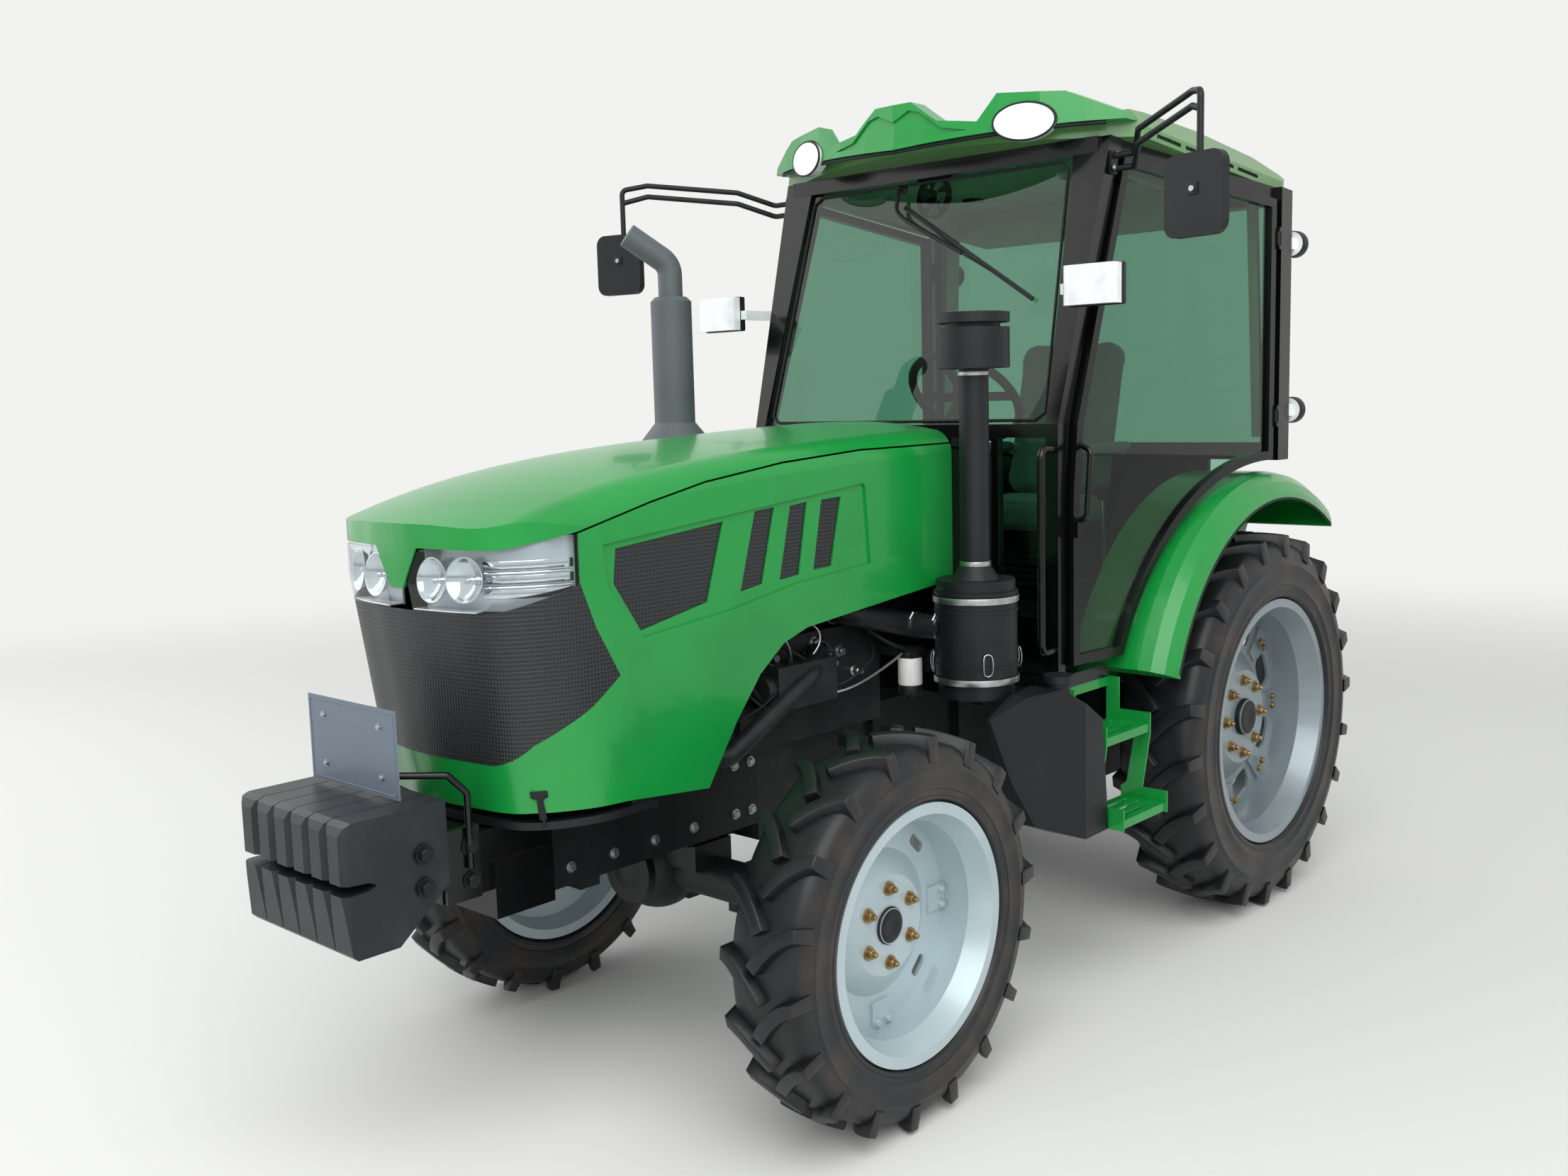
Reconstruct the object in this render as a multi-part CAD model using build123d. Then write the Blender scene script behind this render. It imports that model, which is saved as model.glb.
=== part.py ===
from build123d import *
import math
import os

# A four-wheel-drive farm tractor with a closed cab, drawn in millimetres.
# +Z is up, the nose looks along -Y and the tractor's left side is +X.
# It is drawn with the front axle at y = 0 and the ground at z = 0.
# When it is written, the front axle is set this far ahead of the origin, midway along the whole.
ORIGIN_BEHIND_FRONT_AXLE = 891.0

# Clearances
SEAT_GAP = 0.3
PIN_CLEARANCE = 0.05
PANEL_GAP = 5.0

# Wheels: each x is measured from the middle of the wheel, and each radius from its axle
WHEELBASE = 2077.0
FRONT_TRACK = 1400.0
REAR_TRACK = 1280.0
FRONT_TYRE_RADIUS = 500.0
FRONT_TYRE_WIDTH = 236.0
FRONT_SEAT_RADIUS = 304.8
FRONT_RIM_WIDTH = 215.0
REAR_TYRE_RADIUS = 656.0
REAR_TYRE_WIDTH = 300.0
REAR_SEAT_RADIUS = 404.0
REAR_RIM_WIDTH = 262.0
FLANGE_HEIGHT = 22.7
FLANGE_THICKNESS = 12.0
WELL_DEPTH = 26.0
RIM_WALL = 6.0
DISC_WALL = 10.0
HUB_WALL = 32.0
HUB_CAP_WALL = 12.0
TYRE_SIDES = 30
LUG_HEIGHT = 30.0
LUG_THICKNESS = 30.0
LUG_SWEEP = 104.0
LUG_SINK = 6.0
LUG_OVERLAP = 0.03
LUG_REACH = 0.47
LUG_SKIRT = 0.25
LUG_CROWN = 0.02
FRONT_LUGS = 18
REAR_LUGS = 22
FRONT_HUB_REACH = 9.0
FRONT_HUB_BACK = -52.0
FRONT_CAP_RADIUS = 45.0
FRONT_FLAT_RADIUS = 128.0
FRONT_CONE_RADIUS = 188.0
FRONT_DISH = 38.0
FRONT_BRACKETS = 4
REAR_HUB_REACH = 36.0
REAR_HUB_BACK = -42.0
REAR_CAP_RADIUS = 62.0
REAR_FACE_X = 14.0
REAR_FLAT_RADIUS = 165.0
REAR_CONE_RADIUS = 235.0
REAR_DISH = 60.0
REAR_WINDOWS = 8

# Front axle and steering
KINGPIN_X = 560.0
KINGPIN_RADIUS = 24.0
KNUCKLE_RADIUS = 50.0
YOKE_HEIGHT = 290.0
YOKE_THICKNESS = 24.0
YOKE_REACH = 86.0
YOKE_HALF_DEPTH = 38.0
AXLE_TUBE_RADIUS = 58.0
AXLE_PAD_Z = 600.0
DIFFERENTIAL_X = -150.0
DIFFERENTIAL_RADIUS = 132.0
FRONT_FLANGE_RADIUS = 72.0
FRONT_SPINDLE_RADIUS = 36.0
STEERING_ARM = 170.0
STEERING_ARM_DROP = 58.0
STEERING_ARM_HALF_HEIGHT = 12.0
TIE_ROD_DROP = 30.0
TIE_ROD_RADIUS = 14.0
TIE_ROD_EYE_RADIUS = 24.0
CYLINDER_RADIUS = 34.0
CYLINDER_HALF_LENGTH = 170.0

# Drive line and rear axle
ENGINE_HALF_WIDTH = 200.0
ENGINE_FRONT_Y = -330.0
ENGINE_REAR_Y = 600.0
ENGINE_BOTTOM_Z = 860.0
ENGINE_DECK_Z = 1160.0
MANIFOLD_X = 155.0
MANIFOLD_RADIUS = 34.0
MANIFOLD_HOSE_Y = 390.0
CLUTCH_HALF_WIDTH = 170.0
PROP_SHAFT_Z = 530.0
FUEL_FILTER_X = 300.0
FUEL_FILTER_Y = 620.0
GEARBOX_FRONT_Y = 1000.0
GEARBOX_BOTTOM_Z = 500.0
GEARBOX_TOP_Z = 900.0
REAR_HOUSING_AHEAD = 327.0
REAR_HOUSING_BEHIND = 283.0
REAR_HOUSING_HALF_WIDTH = 230.0
REAR_HOUSING_BOTTOM_Z = 420.0
REAR_SPINDLE_RADIUS = 44.0
REAR_FLANGE_RADIUS = 66.0
TRUMPET_RADIUS = 78.0
TRUMPET_END_X = 452.0
BRAKE_DRUM_RADIUS = 150.0
PTO_RADIUS = 17.5
PTO_Z = 610.0

# Bonnet: the skin's outline and its split lines
BONNET_HALF_WIDTH = 365.0
SKIN = 4.0
NOSE_Y = -908.0
NOSE_CORNER_X = 283.0
NOSE_CORNER_SETBACK = 52.0
NOSE_TURN = 280.0
BONNET_REAR_Y = 750.0
NOSE_RAKE = 0.15
NOSE_KNEE_Z = 1420.0
SHOULDER_DROP = 38.0
SHOULDER_RADIUS = 70.0
BONNET_HINGE_Z = 1670.0
BONNET_HINGE_X = 250.0
BONNET_HINGE_PIN_RADIUS = 9.0
LAMP_TOP_Z = 1500.0
LAMP_BOTTOM_Z = 1358.0
LAMP_REAR_Y = -665.0
LAMP_INNER_X = 45.0
GRILLE_BOTTOM_Z = 1003.0
SURROUND_BOTTOM_Z = 880.0
SURROUND_REAR_Y = -772.0
RECESS_DEPTH = 7.0
SHELF_THICKNESS = 18.0
BOLSTER_REAR_Y = 110.0
BOLSTER_FRONT_Y = -640.0
BOLSTER_HALF_WIDTH = 150.0
SHELF_REAR_Y = -460.0
RADIATOR_FOOT_Z = 915.0
PLATE_ROD_RADIUS = 8.0
CARRIER_FRONT_Y = -955.0

# Front weights
WEIGHT_COUNT = 6
WEIGHT_PITCH = 73.0
WEIGHT_THICKNESS = 70.0
WEIGHT_FRONT_Y = -1216.0
WEIGHT_TOP_Z = 955.0
WEIGHT_BOTTOM_Z = 655.0
WEIGHT_SLOT_Z = 808.0
WEIGHT_SLOT_DEPTH = 80.0
WEIGHT_ROUND = 26.0

# Beside the bonnet
STACK_X = 495.0
STACK_Y = 680.0
STACK_RADIUS = 42.0
CANISTER_RADIUS = 121.0
CANISTER_BOTTOM_Z = 952.0
CANISTER_TOP_Z = 1290.0
PRE_CLEANER_RADIUS = 102.0
PRE_CLEANER_BOTTOM_Z = 1886.0
PRE_CLEANER_TOP_Z = 2040.0
HOSE_Z = 1150.0
MUFFLER_X = -490.0
MUFFLER_Y = 450.0
MUFFLER_RADIUS = 64.0
MUFFLER_BOTTOM_Z = 1740.0
MUFFLER_TOP_Z = 2140.0
BULKHEAD_Y = 822.0
BULKHEAD_THICKNESS = 28.0
BULKHEAD_HALF_WIDTH = 340.0

# Cab: the roof rail falls towards the rear
CAB_FRONT_HALF_WIDTH = 628.0
CAB_REAR_HALF_WIDTH = 742.0
CAB_FLOOR_Z = 930.0
FLOOR_THICKNESS = 30.0
FLOOR_HALF_WIDTH = 560.0
SEAT_PLATFORM_RISE = 160.0
WAIST_Z = 1722.0
ROOF_BOTTOM_Z = 2560.0
ROOF_FALL = 0.082
ROOF_HALF_WIDTH = 705.0
ROOF_REAR_Y = 2320.0
ROOF_HEIGHT = 108.0
ROOF_CORNER_RADIUS = 110.0
RAIL_HEIGHT = 42.0
WINDSCREEN_FOOT_Y = 951.0
WINDSCREEN_HEAD_Y = 1181.0
WINDSCREEN_FOOT_HALF_WIDTH = 563.0
WINDSCREEN_HEAD_HALF_WIDTH = 516.0
CAB_BACK_Y = 2200.0
PILLAR_DEPTH = 30.0
PILLAR_SPREAD = 36.0
POST_X = 372.0
POST_WIDTH = 24.0
GLASS_THICKNESS = 5.0
SCREEN_SETBACK = 12.0
PILLAR_WIDTH = 42.0
SILL_HEIGHT = 40.0
COWL_HEIGHT = 40.0
VISOR_FRONT_Y = 961.0
VISOR_HALF_WIDTH = 680.0
VISOR_TIP_Y = 1168.0
VISOR_DEPTH = 70.0
VISOR_OVERRUN = 30.0
VISOR_STEPS = 6
ROOF_LAMP_X = 430.0
ROOF_LAMP_RISE = 52.0
ROOF_LAMP_DEPTH = 30.0
WORK_LAMP_HEIGHTS = (1730.0, 2300.0)
MIRROR_ARM_Z = 2500.0

# Doors
DOOR_HINGE_Y = 2115.0
DOOR_THICKNESS = 32.0
DOOR_FRAME_WIDTH = 30.0
DOOR_BOTTOM_Z = 1000.0
DOOR_KNEE_Z = 1500.0
DOOR_REAR_SETBACK = 14.0
DOOR_LOWER_HINGE_Z = 1690.0
DOOR_UPPER_HINGE_DROP = 150.0
DOOR_BARREL_LENGTH = 44.0
DOOR_BARREL_RADIUS = 12.0
DOOR_PIN_RADIUS = 6.0

# Rear fenders: radii are measured from the rear axle
FENDER_CROWN = 868.0
FENDER_LIP = 775.0
FENDER_OUTER_X = 788.0
FENDER_INNER_X = 462.0
FENDER_FOOT = 470.0
FENDER_WALL = 6.0
FENDER_START = 57.0
FENDER_SWEEP = 103.0
FENDER_END_SWEEP = 0.5

# Steps, tank and battery box
STEP_FRONT_Y = 975.0
STEP_REAR_Y = 1236.0
STEP_WALL = 6.0
LOWER_TREAD_Z = 556.0
UPPER_TREAD_Z = 796.0
TREAD_OUTER_X = 800.0
TANK_INNER_X = 622.0
TANK_OUTER_X = 760.0
TANK_TOP_Z = 990.0
TANK_BOTTOM_Z = 520.0

# Three-point hitch
LINK_PIVOT_BEHIND_AXLE = 138.0
LINK_PIVOT_Z = 500.0
LINK_LENGTH = 752.0
LINK_DROP = 40.0
LINK_INNER_X = 318.0
LINK_WIDTH = 28.0
LIFT_ROD_REACH = 300.0
LIFT_ROD_X = 300.0
ROCKSHAFT_RISE = 480.0
ROCKSHAFT_RADIUS = 30.0
HITCH_PIN_RADIUS = 11.0
LINK_EYE_RADIUS = 14.2
TOP_LINK_BORE_RADIUS = 12.5
TOP_LINK_Z = 850.0
DRAWBAR_HOLE_RADIUS = 16.0
DRAWBAR_HOLE_BEHIND_AXLE = 523.0
DRAWBAR_TOP_Z = 402.0

# Places worked out from the sizes above
REAR_AXLE_Y = WHEELBASE
REAR_AXLE_Z = REAR_TYRE_RADIUS
FRONT_AXLE_Z = FRONT_TYRE_RADIUS
HOUSING_REAR_Y = REAR_AXLE_Y + REAR_HOUSING_BEHIND
LINK_PIVOT_Y = REAR_AXLE_Y + LINK_PIVOT_BEHIND_AXLE
LINK_ANGLE = math.atan2(-LINK_DROP, LINK_LENGTH)
LINK_REACH = math.hypot(LINK_LENGTH, LINK_DROP)
PIN_Y = LINK_PIVOT_Y + LIFT_ROD_REACH * math.cos(LINK_ANGLE)
PIN_Z = LINK_PIVOT_Z + LIFT_ROD_REACH * math.sin(LINK_ANGLE)
ARM_Z = FRONT_AXLE_Z - STEERING_ARM_DROP
TIE_ROD_Z = ARM_Z - TIE_ROD_DROP
SKIN_INSIDE_X = BONNET_HALF_WIDTH - SKIN - SEAT_GAP
SCREEN_RUN = (WINDSCREEN_HEAD_Y - WINDSCREEN_FOOT_Y) / (ROOF_BOTTOM_Z - WAIST_Z)
POST_FRONT_Y = WINDSCREEN_FOOT_Y - 8
POST_REAR_Y = WINDSCREEN_FOOT_Y + 20
PILLAR_OUTER_X = CAB_FRONT_HALF_WIDTH - 22
PILLAR_INNER_X = PILLAR_OUTER_X - PILLAR_WIDTH
ROCKSHAFT_HALF_LENGTH = LIFT_ROD_X - 48
TRAY_TOP_Z = CAB_FLOOR_Z + FLOOR_THICKNESS
TUNNEL_HALF_WIDTH = FENDER_INNER_X - SEAT_GAP
BACK_SILL_Z = REAR_AXLE_Z + FENDER_CROWN + 36
BACK_SILL_HEIGHT = 60.0
DOOR_FRONT_Y = WINDSCREEN_FOOT_Y + PILLAR_DEPTH + PANEL_GAP
DOOR_ANGLE = math.degrees(math.atan2(CAB_REAR_HALF_WIDTH - CAB_FRONT_HALF_WIDTH, DOOR_HINGE_Y - DOOR_FRONT_Y))


def block(x0, x1, y0, y1, z0, z1):
    """A box between two corners."""
    return Pos((x0 + x1) / 2, (y0 + y1) / 2, (z0 + z1) / 2) * Box(x1 - x0, y1 - y0, z1 - z0)


def rod_x(x0, x1, y, z, radius):
    """A round bar along X."""
    return Pos((x0 + x1) / 2, y, z) * Rot(0, 90, 0) * Cylinder(radius, x1 - x0)


def rod_y(x, y0, y1, z, radius):
    """A round bar along Y."""
    return Pos(x, (y0 + y1) / 2, z) * Rot(90, 0, 0) * Cylinder(radius, y1 - y0)


def rod_z(x, y, z0, z1, radius):
    """A round bar along Z."""
    return Pos(x, y, (z0 + z1) / 2) * Cylinder(radius, z1 - z0)


def side_prism(points, x0, x1):
    """A side-view outline of (y, z) points, drawn through from x0 to x1."""
    face = make_face(Polyline([(x0, y, z) for y, z in points], close=True).edges())
    return extrude(face, amount=x1 - x0, dir=(1, 0, 0))


def front_prism(points, y0, y1):
    """A front-view outline of (x, z) points, drawn through from y0 to y1."""
    face = make_face(Polyline([(x, y0, z) for x, z in points], close=True).edges())
    return extrude(face, amount=y1 - y0, dir=(0, 1, 0))


def plan_prism(points, z0, z1):
    """A plan outline of (x, y) points, drawn up from z0 to z1."""
    face = make_face(Polyline([(x, y, z0) for x, y in points], close=True).edges())
    return extrude(face, amount=z1 - z0, dir=(0, 0, 1))


def across(half):
    """A front-view outline's left half, closed by its mirror image."""
    return half + [(-x, z) for x, z in reversed(half) if x > 0]


def pipe(points, radius, bend):
    """A round tube through points, with each corner bent to a radius."""
    path = FilletPolyline(*points, radius=bend)
    start = Plane(origin=path @ 0, z_dir=path % 0)
    return sweep(start * Circle(radius), path=path)


def both_sides(solid):
    """The solid and its mirror image on the tractor's other side."""
    return [solid, mirror(solid, about=Plane.YZ)]


def fuse(*solids):
    """One solid from several that meet."""
    return solids[0].fuse(*solids[1:]).clean() if len(solids) > 1 else solids[0]


def turned(outline):
    """A body turned about the X axis from (x, radius) points."""
    return revolve(make_face(Polyline([(x, r) for x, r in outline], close=True).edges()), axis=Axis.X)


def spaced(solid, count, first=0.0):
    """Copies of a solid set round the X axis."""
    return [Rot(first + index * 360 / count, 0, 0) * solid for index in range(count)]


def faceted_ring(stations):
    """A many-sided body along X through (x, radius across flats) stations."""
    sections = []
    for x, radius in stations:
        corner = radius / math.cos(math.pi / TYRE_SIDES)
        polygon = Rot(0, 0, 180 / TYRE_SIDES) * RegularPolygon(corner, TYRE_SIDES)
        sections.append(Plane(origin=(x, 0, 0), x_dir=(0, 1, 0), z_dir=(1, 0, 0)) * polygon)
    return loft(sections, ruled=True)


def mirrored_stations(half):
    """Stations from one side of a tyre to the other, from those of its left side, outermost first."""
    return [(-x, r) for x, r in half] + [(x, r) for x, r in reversed(half)]


def tread_lug(radius, width):
    """One lug of a tyre's left row, slanting back from the tread's middle to its shoulder."""
    root = radius - LUG_HEIGHT
    crest = math.sqrt(radius ** 2 - (LUG_SWEEP / 2 + LUG_THICKNESS / 2) ** 2)
    ends = [(-LUG_OVERLAP * width, -LUG_SWEEP / 2, root - LUG_SINK, crest),
            (LUG_REACH * width, LUG_SWEEP / 2, root - LUG_SKIRT * width, crest - LUG_CROWN * width)]
    sections = []
    for x, y, low, high in ends:
        y0 = y - LUG_THICKNESS / 2
        y1 = y + LUG_THICKNESS / 2
        corners = [(x, y0, low), (x, y1, low), (x, y1, high), (x, y0, high)]
        sections.append(make_face(Polyline(corners, close=True).edges()))
    return loft(sections, ruled=True)


def tyre(radius, width, seat_radius, rim_width, lug_count):
    """A tyre about the X axis: beads on the rim's seat, bulged walls and two rows of lugs."""
    half = width / 2
    bead = rim_width / 2 - FLANGE_THICKNESS - SEAT_GAP
    flange = seat_radius + FLANGE_HEIGHT
    wall = radius - flange
    root = radius - LUG_HEIGHT
    skin = [(half, flange + 0.45 * wall), (half - 0.08 * width, root - 0.1 * wall), (half - 0.2 * width, root)]
    hole = [(half + 1, flange + 6), (bead, flange + 1), (bead - 0.1, seat_radius + SEAT_GAP)]
    body = faceted_ring(mirrored_stations(skin)) - faceted_ring(mirrored_stations(hole))
    lug = tread_lug(radius, width)
    left = spaced(lug, lug_count)
    right = spaced(mirror(lug, about=Plane.YZ), lug_count, 180 / lug_count)
    return body.fuse(*left, *right)


def rim_barrel(seat_radius, rim_width):
    """A rim's stepped barrel about the X axis, and the radius of its well's outside."""
    half = rim_width / 2
    flange = seat_radius + FLANGE_HEIGHT
    well = seat_radius - WELL_DEPTH
    bead = half - FLANGE_THICKNESS
    outer = [(-half, flange), (-bead, flange), (-bead, seat_radius), (-0.45 * half, well),
             (0.45 * half, well), (bead, seat_radius), (bead, flange), (half, flange)]
    inner = [(half, seat_radius - RIM_WALL), (0.45 * half, well - RIM_WALL),
             (-0.45 * half, well - RIM_WALL), (-half, seat_radius - RIM_WALL)]
    return turned(outer + inner)


def rim_disc(seat_radius, face, dish, flat_radius, cone_radius):
    """A rim's dished disc about the X axis, without its hub."""
    edge = seat_radius - WELL_DEPTH - RIM_WALL + 1
    back = face - DISC_WALL
    return turned([(face, 0), (face, flat_radius), (face - dish, cone_radius), (face - dish, edge),
                   (back - dish, edge), (back - dish, cone_radius), (back, flat_radius), (back, 0)])


def rim_hub(spindle_radius, face, reach, back, cap_radius):
    """A rim's hub about the X axis and the bore that its spindle fills."""
    hub = rod_x(back, face - DISC_WALL / 2, 0, 0, spindle_radius + PIN_CLEARANCE + HUB_WALL)
    cap = rod_x(face - DISC_WALL / 2, reach, 0, 0, cap_radius)
    bore = rod_x(back - 1, reach - HUB_CAP_WALL, 0, 0, spindle_radius + PIN_CLEARANCE)
    return [hub, cap], bore


def front_wheel_rim():
    """The front rim: a flat middle, a steep cone and four slots between brackets."""
    disc = rim_disc(FRONT_SEAT_RADIUS, 0, FRONT_DISH, FRONT_FLAT_RADIUS, FRONT_CONE_RADIUS)
    middle = (FRONT_SEAT_RADIUS - WELL_DEPTH + FRONT_CONE_RADIUS) / 2
    window = extrude(RectangleRounded(30, 60, 12), amount=30, both=True)
    slot = Pos(-FRONT_DISH, 0, middle) * Rot(0, 90, 0) * window
    bracket = block(-FRONT_DISH - 1, 8 - FRONT_DISH, -34, 34, FRONT_CONE_RADIUS + 16,
                    FRONT_SEAT_RADIUS - WELL_DEPTH - RIM_WALL + 2)
    solids, bore = rim_hub(FRONT_SPINDLE_RADIUS, 0, FRONT_HUB_REACH, FRONT_HUB_BACK, FRONT_CAP_RADIUS)
    cut = disc.cut(*spaced(slot, FRONT_BRACKETS, 180 / FRONT_BRACKETS))
    barrel = rim_barrel(FRONT_SEAT_RADIUS, FRONT_RIM_WIDTH)
    return fuse(barrel, cut, *solids, *spaced(bracket, FRONT_BRACKETS)) - bore


def rear_wheel_rim():
    """The rear rim: a raised middle, a deep cone and rounded windows between brackets."""
    edge = REAR_SEAT_RADIUS - WELL_DEPTH - RIM_WALL
    disc = rim_disc(REAR_SEAT_RADIUS, REAR_FACE_X, REAR_DISH, REAR_FLAT_RADIUS, REAR_CONE_RADIUS)
    middle = (edge + REAR_CONE_RADIUS) / 2
    window = RectangleRounded(84, 120, 30)
    hole = Pos(REAR_FACE_X - REAR_DISH, 0, middle) * Rot(0, 90, 0) * extrude(window, amount=30, both=True)
    floor = REAR_FACE_X - REAR_DISH
    bracket = block(floor - 1, floor + 10, -30, 30, REAR_CONE_RADIUS + 20, edge + 2)
    solids, bore = rim_hub(REAR_SPINDLE_RADIUS, REAR_FACE_X, REAR_HUB_REACH, REAR_HUB_BACK, REAR_CAP_RADIUS)
    cut = disc.cut(*spaced(hole, REAR_WINDOWS, 180 / REAR_WINDOWS))
    barrel = rim_barrel(REAR_SEAT_RADIUS, REAR_RIM_WIDTH)
    return fuse(barrel, cut, *solids, *spaced(bracket, REAR_WINDOWS)) - bore


def bonnet_plan(inset, lean, z):
    """The bonnet's rounded plan outline at a height, its nose set back by lean."""
    half = BONNET_HALF_WIDTH - inset
    nose = NOSE_Y + inset + lean
    rear = BONNET_REAR_Y + inset * 20
    corner_x = NOSE_CORNER_X - inset / 2
    right = [(0, nose, z), (corner_x * 0.53, nose + NOSE_CORNER_SETBACK * 0.27, z),
             (corner_x, nose + NOSE_CORNER_SETBACK, z),
             (half - 20, nose + NOSE_TURN * 0.54, z), (half, nose + NOSE_TURN, z)]
    left = [(-x, y, level) for x, y, level in reversed(right)]
    return make_face([Spline(*right, tangents=[(1, 0, 0), (0, 1, 0)]), Line(right[-1], (half, rear, z)),
                      Line((half, rear, z), (-half, rear, z)), Line((-half, rear, z), left[0]),
                      Spline(*left, tangents=[(0, -1, 0), (1, 0, 0)])])


def bonnet_envelope(inset):
    """The whole bonnet's outer form, or a smaller one inside it."""
    half = BONNET_HALF_WIDTH - inset
    floor = SURROUND_BOTTOM_Z - 60 - inset * 3
    sections = []
    for y, crown in BONNET_CROWN:
        top = crown - inset
        shoulder = top - SHOULDER_DROP
        outline = [
            Line((-half, y, floor), (half, y, floor)),
            Line((half, y, floor), (half, y, shoulder)),
            ThreePointArc((half, y, shoulder), (0, y, top), (-half, y, shoulder)),
            Line((-half, y, shoulder), (-half, y, floor)),
        ]
        wire = Wire(outline)
        corners = [v for v in wire.vertices() if v.Z > shoulder - 1]
        sections.append(Face(wire).fillet_2d(SHOULDER_RADIUS - inset, corners))
    body = loft(sections)
    foot = floor - 20
    height = BONNET_CROWN[-1][1] - foot
    upright = extrude(bonnet_plan(inset, 0, NOSE_KNEE_Z), amount=height, dir=(0, 0, 1))
    lean = (NOSE_KNEE_Z - foot) * NOSE_RAKE
    leaning = loft([bonnet_plan(inset, lean, foot), bonnet_plan(inset, 0, NOSE_KNEE_Z)], ruled=True)
    return (body & upright) + (body & leaning)


def seam_line(shift):
    """The split between bonnet lid and side panels, as (y, z) points moved up by shift."""
    return [(y, z + shift) for y, z in BONNET_SEAM]


def lid_region():
    """Everything above the split line, and the tongue between the headlamps."""
    line = seam_line(PANEL_GAP / 2)
    above = side_prism(line + [(line[-1][0], 1900), (line[0][0], 1900)], -500, 500)
    tongue = front_prism(across([(24, 1408), (85, 1515)]), NOSE_Y - 60, NOSE_Y + 60)
    return above + tongue


def fixed_region():
    """Everything below the split line, clear of the lid's tongue."""
    line = seam_line(-PANEL_GAP / 2)
    below = side_prism(line + [(line[-1][0], 700), (line[0][0], 700)], -500, 500)
    gap = front_prism(across([(24 + 0.8 * PANEL_GAP, 1408 - 1.4 * PANEL_GAP), (85 + 2 * PANEL_GAP, 1515)]),
                      NOSE_Y - 60, NOSE_Y + 60)
    return below - gap


NOSE_FRONT = NOSE_Y - 60
BONNET_CROWN = [(NOSE_Y - 40, 1542), (-690, 1625), (-450, 1674), (-120, 1709), (260, 1729),
                (BONNET_REAR_Y + 60, 1737)]
BONNET_SEAM = [(NOSE_FRONT, 1500), (-840, 1500), (LAMP_REAR_Y, 1530), (-444, 1583), (-262, 1619), (22, 1652),
               (340, 1671), (BONNET_REAR_Y + 100, 1675)]
GRILLE_SIDE = [(NOSE_FRONT, LAMP_BOTTOM_Z), (-857, LAMP_BOTTOM_Z), (LAMP_REAR_Y, 1413), (-625, 1309),
               (-558, 1188), (-645, 1127), (SURROUND_REAR_Y, 1055), (-822, GRILLE_BOTTOM_Z),
               (NOSE_FRONT, GRILLE_BOTTOM_Z)]
LAMP_SIDE = [(NOSE_FRONT, LAMP_BOTTOM_Z), (-857, LAMP_BOTTOM_Z), (LAMP_REAR_Y, 1413),
             (LAMP_REAR_Y, 1540), (NOSE_FRONT, 1540)]
SURROUND_SIDE = [(NOSE_FRONT, GRILLE_BOTTOM_Z), (-822, GRILLE_BOTTOM_Z), (SURROUND_REAR_Y, 1055),
                 (SURROUND_REAR_Y, SURROUND_BOTTOM_Z + 14), (NOSE_FRONT, SURROUND_BOTTOM_Z - 6)]
PANEL_SIDE = [(LAMP_REAR_Y, 1560), (LAMP_REAR_Y, 1413), (-625, 1309), (-558, 1188), (-645, 1127),
              (SURROUND_REAR_Y, 1055), (SURROUND_REAR_Y, SURROUND_BOTTOM_Z + 14), (-554, 887), (-284, 860),
              (-179, 1010), (-88, 1117), (4, 1185), (97, 1214), (259, 1229), (502, 1251), (700, 1268),
              (BONNET_REAR_Y, 1270), (BONNET_REAR_Y, 1700), (LAMP_REAR_Y, 1700)]
RECESS = [(-600, 1500), (340, 1585), (353, 1572), (371, 1354), (60, 1330), (-190, 1290), (-484, 1262),
          (-590, 1395)]
MESH_WINDOW = [(-553, 1483), (-199, 1518), (-262, 1324), (-484, 1282), (-563, 1402)]
SLOTS = [[(-85, 1535), (-12, 1540), (-64, 1347), (-145, 1336)],
         [(48, 1539), (115, 1545), (77, 1356), (1, 1350)],
         [(172, 1547), (253, 1550), (207, 1366), (134, 1363)]]
OUTER_FORM = bonnet_envelope(0)
FIXED = (OUTER_FORM - bonnet_envelope(SKIN)) & fixed_region()


def hood():
    """The lid, with two hinge barrels at its rear edge."""
    lid = (OUTER_FORM - bonnet_envelope(SKIN)) & lid_region()
    bore_radius = BONNET_HINGE_PIN_RADIUS + PIN_CLEARANCE
    barrels = []
    for x in (-BONNET_HINGE_X, BONNET_HINGE_X):
        barrel = rod_x(x - 30, x + 30, BONNET_REAR_Y, BONNET_HINGE_Z, BONNET_HINGE_PIN_RADIUS + 8)
        leaf = block(x - 30, x + 30, BONNET_REAR_Y - 14, BONNET_REAR_Y - 4, BONNET_HINGE_Z, BONNET_HINGE_Z + 50)
        bore = rod_x(x - 40, x + 40, BONNET_REAR_Y, BONNET_HINGE_Z, bore_radius)
        barrels.append((barrel + leaf) - bore)
    return fuse(lid, *barrels)


def side_panels():
    """Both green side panels: a sunk field holds the mesh window and three slots."""
    panel = FIXED & side_prism(PANEL_SIDE, 150, 500)
    field = side_prism(RECESS, 300, 500)
    face = make_face(Polyline([(300, y, z) for y, z in RECESS], close=True).edges())
    core = extrude(offset(face, amount=-SKIN, kind=Kind.INTERSECTION), amount=200, dir=(1, 0, 0))
    step = (OUTER_FORM - bonnet_envelope(RECESS_DEPTH + SKIN)) & (field - core)
    floor = (bonnet_envelope(RECESS_DEPTH) - bonnet_envelope(RECESS_DEPTH + SKIN)) & field
    panel = fuse(panel - core, step, floor)
    for outline in [MESH_WINDOW] + SLOTS:
        panel -= side_prism(outline, 330, 400)
    return both_sides(panel)


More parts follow.
